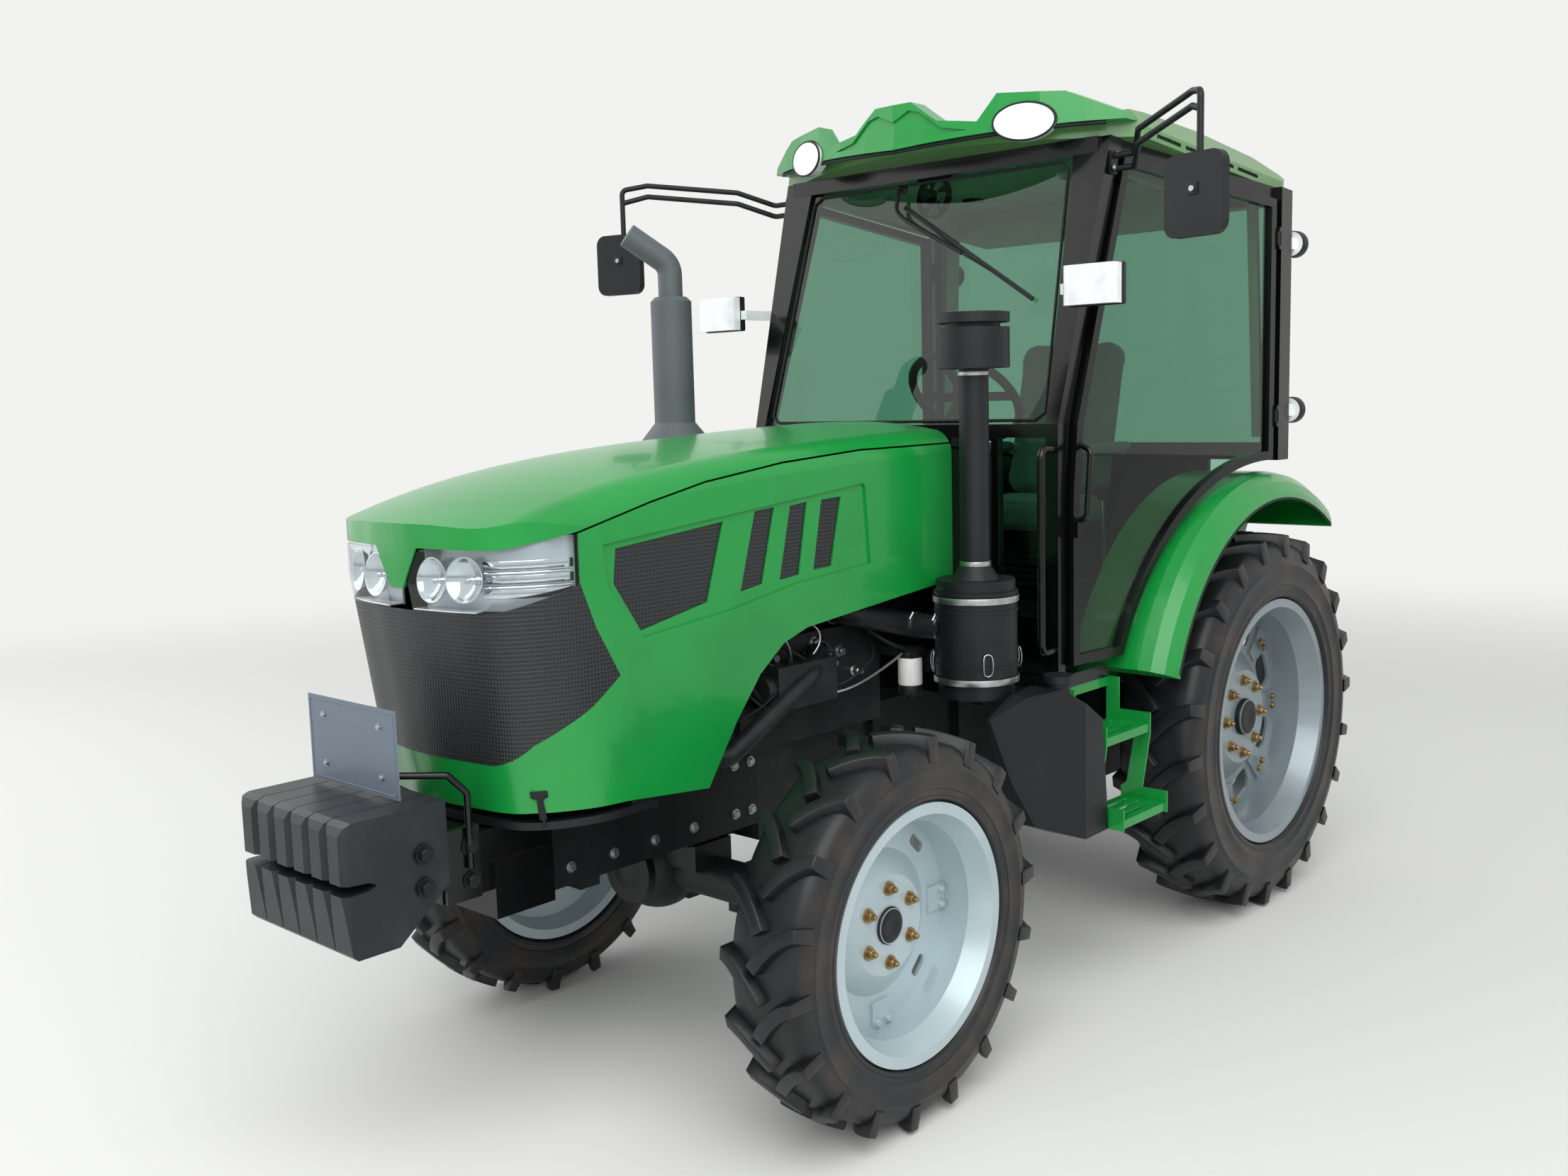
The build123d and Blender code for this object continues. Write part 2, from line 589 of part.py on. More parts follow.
def grille():
    """The nose mesh and the screens behind the panels' windows."""
    nose = FIXED & side_prism(GRILLE_SIDE, -500, 500)
    inner = SKIN_INSIDE_X - RECESS_DEPTH
    screen = block(inner - 3, inner, -575, 270, 1270, 1552)
    return [nose] + both_sides(screen)


def headlamps():
    """Two lamps, each wrapped round a corner of the nose."""
    region = side_prism(LAMP_SIDE, 0, 500)
    return both_sides((FIXED & region) - block(-60, LAMP_INNER_X, -1000, -600, 1300, 1600))


def nose_surround():
    """The green lip under the grille."""
    return FIXED & side_prism(SURROUND_SIDE, -500, 500)


def front_bolster():
    """The cast frame over the front axle, with the shelf that carries the radiator and nose."""
    top = SURROUND_BOTTOM_Z - 8
    beam = block(-BOLSTER_HALF_WIDTH, BOLSTER_HALF_WIDTH, BOLSTER_FRONT_Y, BOLSTER_REAR_Y, 640, 860)
    saddle = block(-70, 70, -90, 90, AXLE_PAD_Z + SEAT_GAP, 650)
    lean = (NOSE_KNEE_Z - top) * NOSE_RAKE
    lip = extrude(bonnet_plan(-4, lean, top - SHELF_THICKNESS), amount=SHELF_THICKNESS, dir=(0, 0, 1))
    lip &= block(-500, 500, NOSE_FRONT, SHELF_REAR_Y, 500, 1200)
    mount = block(-BOLSTER_HALF_WIDTH, BOLSTER_HALF_WIDTH, -600, SHELF_REAR_Y, 850, RADIATOR_FOOT_Z)
    wings = block(-SKIN_INSIDE_X, SKIN_INSIDE_X, SHELF_REAR_Y - 76, SHELF_REAR_Y, top - 1, RADIATOR_FOOT_Z)
    return fuse(beam, saddle, lip, mount, wings)


def weight_carrier():
    """The box bracket ahead of the bolster and the bent rod that holds the plate."""
    box = block(-185, 185, CARRIER_FRONT_Y, BOLSTER_FRONT_Y - SEAT_GAP, 705, 850)
    lower = block(-200, 200, -820, -650, 637, 770)
    cheeks = [block(*sorted((side * 180, side * 200)), CARRIER_FRONT_Y + 4, -858, 705, 874) for side in (-1, 1)]
    bolts = [rod_x(-207, 207, -885, z, 11) for z in (750, 830)]
    half_rod = [(207, -890, 780), (207, -890, 955), (190, -928, 1000), (120, -1035, 1010)]
    rod = pipe(half_rod + [(-x, y, z) for x, y, z in reversed(half_rod)], PLATE_ROD_RADIUS, 14)
    return fuse(box, lower, *cheeks, *bolts, rod)


def number_plate():
    """A blank plate on the bent rod."""
    back = -1035 - PLATE_ROD_RADIUS - SEAT_GAP
    return block(-180, 180, back - 3, back, 965, 1165)


def front_weights():
    """Suitcase weights side by side, held by one cross bolt."""
    back = CARRIER_FRONT_Y - SEAT_GAP
    front = WEIGHT_FRONT_Y
    notch = front + WEIGHT_SLOT_DEPTH
    corner = WEIGHT_ROUND * 0.3
    side = [(back, WEIGHT_TOP_Z), (front + WEIGHT_ROUND, WEIGHT_TOP_Z), (front + corner, WEIGHT_TOP_Z - corner),
            (front, WEIGHT_TOP_Z - WEIGHT_ROUND), (front, WEIGHT_SLOT_Z + 14), (notch - 20, WEIGHT_SLOT_Z + 10),
            (notch, WEIGHT_SLOT_Z), (notch - 20, WEIGHT_SLOT_Z - 8), (front, WEIGHT_SLOT_Z - 10),
            (front + 12, WEIGHT_BOTTOM_Z + 12), (front + 24, WEIGHT_BOTTOM_Z), (-1089, WEIGHT_BOTTOM_Z),
            (back, WEIGHT_BOTTOM_Z + 110)]
    half = WEIGHT_THICKNESS / 2
    plan = [(half, back + 10), (half, front + 12), (half - 9, front + 3), (half - 16, front - 1),
            (16 - half, front - 1), (9 - half, front + 3), (-half, front + 12), (-half, back + 10)]
    plate = side_prism(side, -half, half) & plan_prism(plan, 600, 1000)
    places = [(index - (WEIGHT_COUNT - 1) / 2) * WEIGHT_PITCH for index in range(WEIGHT_COUNT)]
    reach = WEIGHT_COUNT * WEIGHT_PITCH / 2 + 10
    bolts = [rod_x(-reach, reach, y, z, 12) for y, z in ((-1020, 848), (-1020, 772))]
    return fuse(*[Pos(x, 0, 0) * plate for x in places], *bolts)


def front_axle():
    """The steered drive axle: tubes, differential, yokes with kingpins, and the steering cylinder."""
    z = FRONT_AXLE_Z
    half = YOKE_HEIGHT / 2
    web_x = KINGPIN_X - YOKE_REACH
    tube = rod_x(-web_x, web_x, 0, z, AXLE_TUBE_RADIUS)
    pad = block(-80, 80, -70, 70, z + AXLE_TUBE_RADIUS - 30, AXLE_PAD_Z)
    case = Pos(DIFFERENTIAL_X, 0, z) * Sphere(DIFFERENTIAL_RADIUS)
    case &= block(-400, 0, -200, 200, z - DIFFERENTIAL_RADIUS, z + AXLE_TUBE_RADIUS + 30)
    cover = rod_y(DIFFERENTIAL_X, -DIFFERENTIAL_RADIUS + 12, -60, z, 92)
    pieces = [tube, pad, case, cover]
    for side in (-1, 1):
        x = side * KINGPIN_X
        inner = side * web_x
        pieces.append(block(inner - 12, inner + 12, -YOKE_HALF_DEPTH, YOKE_HALF_DEPTH, z - half, z + half))
        pieces.append(rod_x(inner - 12, inner + 12, 0, z, 84))
        for low, high in ((z - half, z - half + YOKE_THICKNESS), (z + half - YOKE_THICKNESS, z + half)):
            pieces.append(block(*sorted((inner, x)), -YOKE_HALF_DEPTH, YOKE_HALF_DEPTH, low, high))
            pieces.append(rod_z(x, 0, low, high, YOKE_HALF_DEPTH))
        pieces.append(rod_z(x, 0, z - half, z + half, KINGPIN_RADIUS))
    cylinder = rod_x(-CYLINDER_HALF_LENGTH, CYLINDER_HALF_LENGTH, STEERING_ARM, TIE_ROD_Z, CYLINDER_RADIUS)
    foot = AXLE_TUBE_RADIUS - 30
    lugs = [block(x - 15, x + 15, foot, STEERING_ARM, TIE_ROD_Z - 14, z + 20) for x in (-70, 120)]
    bore = rod_x(-300, 300, STEERING_ARM, TIE_ROD_Z, TIE_ROD_RADIUS + PIN_CLEARANCE)
    return fuse(*pieces, cylinder, *lugs) - bore


def knuckle():
    """The left steering knuckle: a barrel on the kingpin, the wheel spindle and the steering arm."""
    z = FRONT_AXLE_Z
    half = YOKE_HEIGHT / 2 - YOKE_THICKNESS - SEAT_GAP
    barrel = rod_z(KINGPIN_X, 0, z - half, z + half, KNUCKLE_RADIUS)
    face = FRONT_TRACK / 2 + FRONT_HUB_BACK - SEAT_GAP
    end = FRONT_TRACK / 2 + FRONT_HUB_REACH - HUB_CAP_WALL - SEAT_GAP
    flange = rod_x(KINGPIN_X, face, 0, z, FRONT_FLANGE_RADIUS)
    spindle = rod_x(KINGPIN_X, end, 0, z, FRONT_SPINDLE_RADIUS)
    low = ARM_Z - STEERING_ARM_HALF_HEIGHT
    high = ARM_Z + STEERING_ARM_HALF_HEIGHT
    arm = block(KINGPIN_X - 15, KINGPIN_X + 15, 0, STEERING_ARM, low, high)
    eye = rod_z(KINGPIN_X, STEERING_ARM, low, high, TIE_ROD_EYE_RADIUS)
    bore = rod_z(KINGPIN_X, 0, z - YOKE_HEIGHT, z + YOKE_HEIGHT, KINGPIN_RADIUS + PIN_CLEARANCE)
    return fuse(barrel, flange, spindle, arm, eye) - bore


def tie_rod():
    """The steering rod through the cylinder, with an eye under each steering arm."""
    bar = rod_x(-KINGPIN_X, KINGPIN_X, STEERING_ARM, TIE_ROD_Z, TIE_ROD_RADIUS)
    top = ARM_Z - STEERING_ARM_HALF_HEIGHT - SEAT_GAP
    eyes = [rod_z(x, STEERING_ARM, TIE_ROD_Z - 16, top, TIE_ROD_EYE_RADIUS) for x in (-KINGPIN_X, KINGPIN_X)]
    return fuse(bar, *eyes)


def engine():
    """The engine: block, head, sump, pulley and the pieces that show on its open left side."""
    half = ENGINE_HALF_WIDTH
    deck = ENGINE_DECK_Z
    case = block(-half, half, ENGINE_FRONT_Y, ENGINE_REAR_Y, ENGINE_BOTTOM_Z + SEAT_GAP, deck)
    head = block(-130, 150, ENGINE_FRONT_Y + 30, ENGINE_REAR_Y - 40, deck, deck + 110)
    cover = block(-90, 90, ENGINE_FRONT_Y + 60, ENGINE_REAR_Y - 80, deck + 110, deck + 180)
    cover = fillet(cover.edges().group_by(Axis.Z)[-1], 22)
    manifolds = [rod_y(side * MANIFOLD_X, ENGINE_FRONT_Y + 80, ENGINE_REAR_Y - 90, deck + 50, MANIFOLD_RADIUS)
                 for side in (-1, 1)]
    sump = block(-150, 150, BOLSTER_REAR_Y + SEAT_GAP, ENGINE_REAR_Y, 590, ENGINE_BOTTOM_Z + 10)
    rib = block(half - 1, half + 10, -7, 7, ENGINE_BOTTOM_Z + 30, deck - 70)
    ribs = [Pos(0, y, 0) * rib for y in range(-280, 50, 55)]
    pulley = rod_y(0, ENGINE_FRONT_Y - 50, ENGINE_FRONT_Y, 960, 95)
    fan_hub = rod_y(0, ENGINE_FRONT_Y - 90, ENGINE_FRONT_Y, 1130, 60)
    blades = [Pos(0, ENGINE_FRONT_Y - 75, 1130) * Rot(0, turn, 0) * Box(60, 10, 360) for turn in (0, 60, 120)]
    alternator = rod_y(215, -300, -130, 1180, 62)
    pump = block(half - 10, half + 90, 60, 300, 980, 1100)
    pump_end = rod_y(half + 45, 30, 60, 1040, 40)
    injectors = [rod_z(120, y, deck + 100, deck + 160, 12) for y in range(-200, 500, 180)]
    filter_head = block(half - 10, 330, 590, 650, 1055, 1080)
    filter_can = rod_z(FUEL_FILTER_X, FUEL_FILTER_Y, 940, 1056, 33)
    hose = pipe([(250, -460, 960), (300, -150, 900), (285, 200, 1060), (half - 5, 330, 1120)], 26, 60)
    front = [pulley, fan_hub, *blades, alternator]
    left = [pump, pump_end, *injectors, filter_head, filter_can, hose]
    return fuse(case, head, cover, *manifolds, sump, *ribs, *front, *left)


def radiator():
    """The radiator and its shroud behind the grille."""
    core = block(-270, 270, -600, -520, RADIATOR_FOOT_Z + SEAT_GAP, 1470)
    tank = block(-255, 255, -592, -528, 1469, 1500)
    shroud = block(-250, 250, -520, -470, RADIATOR_FOOT_Z + 15, 1440) - rod_y(0, -530, -460, 1180, 210)
    return fuse(core, tank, shroud)


def air_cleaner():
    """The intake: ribbed canister, hose to the engine, stack pipe and round pre-cleaner."""
    base = CANISTER_BOTTOM_Z
    can = rod_z(STACK_X, STACK_Y, base + 44, CANISTER_TOP_Z - 30, CANISTER_RADIUS - 3)
    cup = rod_z(STACK_X, STACK_Y, base, base + 46, CANISTER_RADIUS - 12)
    lid = rod_z(STACK_X, STACK_Y, CANISTER_TOP_Z - 32, CANISTER_TOP_Z, CANISTER_RADIUS - 8)
    rib_heights = (base + 44, base + 90, CANISTER_TOP_Z - 90, CANISTER_TOP_Z - 40)
    ribs = [rod_z(STACK_X, STACK_Y, z, z + 8, CANISTER_RADIUS) for z in rib_heights]
    stack = rod_z(STACK_X, STACK_Y, CANISTER_TOP_Z - 10, PRE_CLEANER_BOTTOM_Z + 14, STACK_RADIUS)
    collar = Pos(STACK_X, STACK_Y, CANISTER_TOP_Z + 20) * Cone(STACK_RADIUS + 28, STACK_RADIUS, 44)
    bowl = rod_z(STACK_X, STACK_Y, PRE_CLEANER_BOTTOM_Z, PRE_CLEANER_TOP_Z - 42, PRE_CLEANER_RADIUS)
    neck = rod_z(STACK_X, STACK_Y, PRE_CLEANER_TOP_Z - 44, PRE_CLEANER_TOP_Z - 26, PRE_CLEANER_RADIUS - 26)
    cap = rod_z(STACK_X, STACK_Y, PRE_CLEANER_TOP_Z - 28, PRE_CLEANER_TOP_Z, PRE_CLEANER_RADIUS)
    hose = pipe([(STACK_X - 60, STACK_Y - 60, HOSE_Z), (310, 600, HOSE_Z), (262, MANIFOLD_HOSE_Y, HOSE_Z + 60),
                 (MANIFOLD_X + MANIFOLD_RADIUS + SEAT_GAP, MANIFOLD_HOSE_Y, HOSE_Z + 60)], 36, 50)
    bracket = block(300, STACK_X - 90, STACK_Y, BULKHEAD_Y - SEAT_GAP, 1000, 1060)
    return fuse(can, cup, lid, *ribs, stack, collar, bowl, neck, cap, bracket, hose)


def exhaust():
    """The exhaust: riser beside the bonnet, cone, muffler and bent tail pipe."""
    start = -ENGINE_HALF_WIDTH - SEAT_GAP
    riser = pipe([(start, 300, 1130), (MUFFLER_X, 300, 1130), (MUFFLER_X, MUFFLER_Y, 1240),
                  (MUFFLER_X, MUFFLER_Y, MUFFLER_BOTTOM_Z - 20)], 32, 60)
    cone = Pos(MUFFLER_X, MUFFLER_Y, MUFFLER_BOTTOM_Z - 20) * Cone(MUFFLER_RADIUS + 48, MUFFLER_RADIUS, 60)
    muffler = rod_z(MUFFLER_X, MUFFLER_Y, MUFFLER_BOTTOM_Z, MUFFLER_TOP_Z, MUFFLER_RADIUS)
    muffler = chamfer(muffler.edges().group_by(Axis.Z)[-1], 14)
    tail = pipe([(MUFFLER_X, MUFFLER_Y, MUFFLER_TOP_Z - 10), (MUFFLER_X, MUFFLER_Y, MUFFLER_TOP_Z + 100),
                 (MUFFLER_X - 70, MUFFLER_Y - 110, MUFFLER_TOP_Z + 190)], 38, 60)
    return fuse(riser, cone, muffler, tail)


def transmission():
    """Clutch housing, gearbox, front drive shaft and rear axle housing with its trumpets and spindles."""
    clutch = block(-CLUTCH_HALF_WIDTH, CLUTCH_HALF_WIDTH, ENGINE_REAR_Y + SEAT_GAP, GEARBOX_FRONT_Y + 10, 560,
                   GEARBOX_TOP_Z)
    front = REAR_AXLE_Y - REAR_HOUSING_AHEAD
    gearbox = block(-200, 200, GEARBOX_FRONT_Y, front + 10, GEARBOX_BOTTOM_Z, GEARBOX_TOP_Z)
    half = REAR_HOUSING_HALF_WIDTH
    rear = block(-half, half, front, HOUSING_REAR_Y, REAR_HOUSING_BOTTOM_Z, GEARBOX_TOP_Z - 10)
    lift_case = block(-170, 170, REAR_AXLE_Y - 17, HOUSING_REAR_Y - 30, GEARBOX_TOP_Z - 10, GEARBOX_TOP_Z + 140)
    trumpet = rod_x(-TRUMPET_END_X, TRUMPET_END_X, REAR_AXLE_Y, REAR_AXLE_Z, TRUMPET_RADIUS)
    drums = rod_x(-310, 310, REAR_AXLE_Y, REAR_AXLE_Z, BRAKE_DRUM_RADIUS)
    face = REAR_TRACK / 2 + REAR_HUB_BACK - SEAT_GAP
    flange = rod_x(-face, face, REAR_AXLE_Y, REAR_AXLE_Z, REAR_FLANGE_RADIUS)
    end = REAR_TRACK / 2 + REAR_HUB_REACH - HUB_CAP_WALL - SEAT_GAP
    spindle = rod_x(-end, end, REAR_AXLE_Y, REAR_AXLE_Z, REAR_SPINDLE_RADIUS)
    power = rod_y(0, HOUSING_REAR_Y - 10, HOUSING_REAR_Y + 80, PTO_Z, PTO_RADIUS)
    shield = block(-90, 90, HOUSING_REAR_Y - 5, HOUSING_REAR_Y + 60, PTO_Z + 60, PTO_Z + 68)
    rockshaft = rod_x(-ROCKSHAFT_HALF_LENGTH, ROCKSHAFT_HALF_LENGTH, LINK_PIVOT_Y, LINK_PIVOT_Z + ROCKSHAFT_RISE,
                      ROCKSHAFT_RADIUS)
    pins = rod_x(-352, 352, LINK_PIVOT_Y, LINK_PIVOT_Z, HITCH_PIN_RADIUS)
    shaft = rod_y(DIFFERENTIAL_X, DIFFERENTIAL_RADIUS + PANEL_GAP, GEARBOX_FRONT_Y + 5, PROP_SHAFT_Z, 22)
    return fuse(clutch, gearbox, rear, lift_case, trumpet, drums, flange, spindle, power, shield, rockshaft, pins,
                shaft)


def bulkhead():
    """The plate behind the engine bay, with the bonnet's hinge ears and pins, and its rubber edge."""
    back = BULKHEAD_Y + BULKHEAD_THICKNESS
    half = BULKHEAD_HALF_WIDTH
    parts = [block(-half, half, BULKHEAD_Y, back, GEARBOX_TOP_Z + 5, 1660)]
    for side in (-1, 1):
        parts.append(block(*sorted((side * (half + 5), side * (BONNET_HALF_WIDTH + 5))), BONNET_REAR_Y + SEAT_GAP,
                           back, 1270, 1655))
        parts.append(block(*sorted((side * (half - 10), side * (half + 10))), BULKHEAD_Y, back, 1270, 1655))
    for x in (-BONNET_HINGE_X, BONNET_HINGE_X):
        for ear in (x - 45, x + 33):
            parts.append(block(ear, ear + 12, BONNET_REAR_Y - 14, BULKHEAD_Y + 8, BONNET_HINGE_Z - 30,
                               BONNET_HINGE_Z + 12))
        parts.append(rod_x(x - 45, x + 45, BONNET_REAR_Y, BONNET_HINGE_Z, BONNET_HINGE_PIN_RADIUS))
    return fuse(*parts)


def rail_z(y):
    """Where the top of the cab's side rails, and so the roof's underside, stands at a place."""
    return ROOF_BOTTOM_Z - ROOF_FALL * (y - WINDSCREEN_HEAD_Y)


def screen_y(z):
    """Where the windscreen's plane stands at a height."""
    return WINDSCREEN_FOOT_Y + (z - WAIST_Z) * SCREEN_RUN


def pillar_back_y(z):
    """Where the front pillar's rear edge stands at a height."""
    back = WINDSCREEN_FOOT_Y + PILLAR_DEPTH
    if z <= DOOR_KNEE_Z:
        return back
    if z <= WAIST_Z:
        return back + 20 * (z - DOOR_KNEE_Z) / (WAIST_Z - DOOR_KNEE_Z)
    rise = (z - WAIST_Z) / (ROOF_BOTTOM_Z - WAIST_Z)
    return back + 20 + rise * (WINDSCREEN_HEAD_Y - WINDSCREEN_FOOT_Y + 20)


def pillar_outer_x(z):
    """Where the front pillar's outer face stands at a height above the waist."""
    return PILLAR_OUTER_X + PILLAR_SPREAD * (z - WAIST_Z) / (ROOF_BOTTOM_Z - WAIST_Z)


def below_rail(drop):
    """Everything in the cab that lies more than drop below the roof's underside."""
    return side_prism([(800, 0), (2600, 0), (2600, rail_z(2600) - drop), (800, rail_z(800) - drop)], -900, 900)


def door_hinge_heights():
    """The bottoms of the door's two hinge barrels."""
    upper = rail_z(DOOR_HINGE_Y) - RAIL_HEIGHT - PANEL_GAP - DOOR_UPPER_HINGE_DROP
    return [DOOR_LOWER_HINGE_Z, upper]


def door_hinge_ears():
    """The left side's hinge ears and pins on the rear pillar."""
    parts = []
    for z in door_hinge_heights():
        top = z + DOOR_BARREL_LENGTH
        for low, high in ((z - 14, z - SEAT_GAP), (top + SEAT_GAP, top + 14)):
            parts.append(block(CAB_REAR_HALF_WIDTH - 14, CAB_REAR_HALF_WIDTH + 8, DOOR_HINGE_Y - 8,
                               DOOR_HINGE_Y + 30, low, high))
        parts.append(rod_z(CAB_REAR_HALF_WIDTH, DOOR_HINGE_Y, z - 14, top + 14, DOOR_PIN_RADIUS))
    return parts


def cab_frame():
    """The cab's welded frame: pillars, falling rails, sills and the posts beside the bonnet."""
    top = ROOF_BOTTOM_Z + 40
    lean = [(POST_FRONT_Y, CAB_FLOOR_Z), (POST_FRONT_Y, WAIST_Z), (screen_y(top), top), (pillar_back_y(top), top),
            (pillar_back_y(WAIST_Z), WAIST_Z), (pillar_back_y(DOOR_KNEE_Z), DOOR_KNEE_Z),
            (pillar_back_y(CAB_FLOOR_Z), CAB_FLOOR_Z)]
    stance = [(PILLAR_INNER_X, CAB_FLOOR_Z), (PILLAR_OUTER_X, CAB_FLOOR_Z), (PILLAR_OUTER_X, WAIST_Z),
              (pillar_outer_x(top), top), (WINDSCREEN_HEAD_HALF_WIDTH + 2, top), (PILLAR_INNER_X, WAIST_Z)]
    a_pillar = side_prism(lean, 400, 700) & front_prism(stance, 800, 1400) & below_rail(0)
    post = block(POST_X, POST_X + POST_WIDTH, POST_FRONT_Y, POST_REAR_Y, CAB_FLOOR_Z, WAIST_Z - COWL_HEIGHT / 2)
    outer = CAB_REAR_HALF_WIDTH
    c_pillar = block(outer - 56, outer, DOOR_HINGE_Y + 22, CAB_BACK_Y + 20, BACK_SILL_Z, top) & below_rail(0)
    front_x = PILLAR_OUTER_X + 20
    rail_plan = [(front_x - 50, WINDSCREEN_HEAD_Y), (front_x, WINDSCREEN_HEAD_Y), (outer - 16, CAB_BACK_Y),
                 (outer - 66, CAB_BACK_Y)]
    rail = (plan_prism(rail_plan, 2300, top) & below_rail(0)) - below_rail(RAIL_HEIGHT)
    sill = block(FLOOR_HALF_WIDTH, PILLAR_OUTER_X, POST_FRONT_Y, STEP_REAR_Y - 11, CAB_FLOOR_Z,
                 CAB_FLOOR_Z + SILL_HEIGHT)
    half = fuse(a_pillar, rail, c_pillar, post, sill, *door_hinge_ears())
    cowl = block(-PILLAR_OUTER_X, PILLAR_OUTER_X, POST_FRONT_Y, POST_FRONT_Y + 44, WAIST_Z - COWL_HEIGHT, WAIST_Z)
    head = block(-PILLAR_OUTER_X, PILLAR_OUTER_X, WINDSCREEN_HEAD_Y - 14, WINDSCREEN_HEAD_Y + 50,
                 ROOF_BOTTOM_Z - RAIL_HEIGHT - 4, top) & below_rail(0)
    foot = block(-PILLAR_OUTER_X, PILLAR_OUTER_X, POST_FRONT_Y, POST_REAR_Y, CAB_FLOOR_Z, CAB_FLOOR_Z + SILL_HEIGHT)
    back_half = outer - 42
    back_head = block(-back_half, back_half, CAB_BACK_Y - 30, CAB_BACK_Y + 20, 2300, top) & below_rail(0)
    back_head -= below_rail(RAIL_HEIGHT + 6)
    back_foot = block(-back_half, back_half, CAB_BACK_Y - 30, CAB_BACK_Y + 20, BACK_SILL_Z,
                      BACK_SILL_Z + BACK_SILL_HEIGHT)
    return fuse(half, mirror(half, about=Plane.YZ), cowl, head, foot, back_head, back_foot)


def cab_floor():
    """The cab's floor, the platform under the seat and the back wall below the window."""
    half = FLOOR_HALF_WIDTH - SEAT_GAP
    side = TUNNEL_HALF_WIDTH
    deck = CAB_FLOOR_Z + SEAT_PLATFORM_RISE
    tray = block(-half, half, POST_REAR_Y + SEAT_GAP, 1250, CAB_FLOOR_Z, TRAY_TOP_Z)
    tunnel = block(-side, side, 1250, CAB_BACK_Y, deck - FLOOR_THICKNESS, deck)
    riser = block(-side, side, 1240, 1262, CAB_FLOOR_Z, deck)
    wall = block(-side, side, CAB_BACK_Y - 24, CAB_BACK_Y, deck - 20, BACK_SILL_Z - SEAT_GAP)
    mounts = [block(x - 40, x + 40, GEARBOX_FRONT_Y + 40, GEARBOX_FRONT_Y + 120, GEARBOX_TOP_Z, CAB_FLOOR_Z)
              for x in (-150, 150)]
    return fuse(tray, tunnel, riser, wall, *mounts)


def fender():
    """The left fender: a wall inside the wheel, a crown over it, a rounded lip and closed ends."""
    outer = [(FENDER_INNER_X, FENDER_CROWN), (690, FENDER_CROWN), (730, FENDER_CROWN - 9),
             (764, FENDER_CROWN - 36), (780, FENDER_CROWN - 66), (FENDER_OUTER_X, FENDER_LIP)]
    inner = [(FENDER_OUTER_X - FENDER_WALL, FENDER_LIP), (774, FENDER_CROWN - 68), (759, FENDER_CROWN - 40),
             (727, FENDER_CROWN - 15), (688, FENDER_CROWN - FENDER_WALL),
             (FENDER_INNER_X + FENDER_WALL, FENDER_CROWN - FENDER_WALL), (FENDER_INNER_X + FENDER_WALL, FENDER_FOOT)]
    axle = Axis((0, REAR_AXLE_Y, REAR_AXLE_Z), (1, 0, 0))

    def swept(profile, start, sweep):
        points = [(x, REAR_AXLE_Y + r, REAR_AXLE_Z) for x, r in profile]
        face = make_face(Polyline(points, close=True).edges())
        return revolve(face.rotate(axle, start), axis=axle, revolution_arc=sweep)

    shell = swept([(FENDER_INNER_X, FENDER_FOOT)] + outer + inner, FENDER_START, FENDER_SWEEP)
    end_web = outer + [(FENDER_OUTER_X, FENDER_LIP - 4), (FENDER_INNER_X, FENDER_LIP - 4)]
    tail = swept(end_web, FENDER_START, FENDER_END_SWEEP)
    front = swept(end_web, FENDER_START + FENDER_SWEEP - FENDER_END_SWEEP, FENDER_END_SWEEP)
    return fuse(shell, tail, front)


def visor_front_y(x):
    """Where the visor's bowed front stands beside the middle."""
    return VISOR_FRONT_Y + (VISOR_TIP_Y - VISOR_FRONT_Y) * (x / VISOR_HALF_WIDTH) ** 2


def visor_edge(back):
    """The visor's bowed edge as plan points, moved back."""
    half = VISOR_HALF_WIDTH + VISOR_OVERRUN
    steps = [half * index / VISOR_STEPS for index in range(-VISOR_STEPS, VISOR_STEPS + 1)]
    return [(x, visor_front_y(x) + back) for x in steps]


def roof_local(solid):
    """Tilts what is drawn level about the windscreen's head on to the falling rails."""
    fall = -math.degrees(math.atan(ROOF_FALL))
    return Pos(0, WINDSCREEN_HEAD_Y, ROOF_BOTTOM_Z + SEAT_GAP) * Rot(fall, 0, 0) * solid


def cab_roof():
    """The roof: a crowned shell behind the visor, hollowed below for the lining and the blower."""
    half = ROOF_HALF_WIDTH
    rear = ROOF_REAR_Y - WINDSCREEN_HEAD_Y
    front = VISOR_FRONT_Y - WINDSCREEN_HEAD_Y
    upright = block(-half, half, front, rear, 0, 200)
    upright = fillet(upright.edges().filter_by(Axis.Z).group_by(Axis.Y)[-1], ROOF_CORNER_RADIUS)
    crown = [(front, 46), (-60, 66), (150, 92), (500, ROOF_HEIGHT), (900, 96), (1060, 62), (rear + 1, 12),
             (rear + 1, 0), (front, 0)]
    across_roof = across([(half, 0), (half, 34), (half - 56, ROOF_HEIGHT), (300, ROOF_HEIGHT + 4)])
    body = upright & side_prism(crown, -half, half) & front_prism(across_roof, front, rear + 1)
    well = block(-FLOOR_HALF_WIDTH, FLOOR_HALF_WIDTH, 70, 940, -1, 36)
    vents = [block(side * half - 8, side * half + 8, y, y + 150, 12, 24) for side in (-1, 1)
             for y in (160, 340, 520, 700)]
    body = roof_local(body.cut(well, *vents))
    edge = visor_edge(VISOR_DEPTH + SEAT_GAP)
    ahead = plan_prism(edge + [(edge[-1][0], VISOR_FRONT_Y - 50), (edge[0][0], VISOR_FRONT_Y - 50)], 2300, 2900)
    return body - ahead


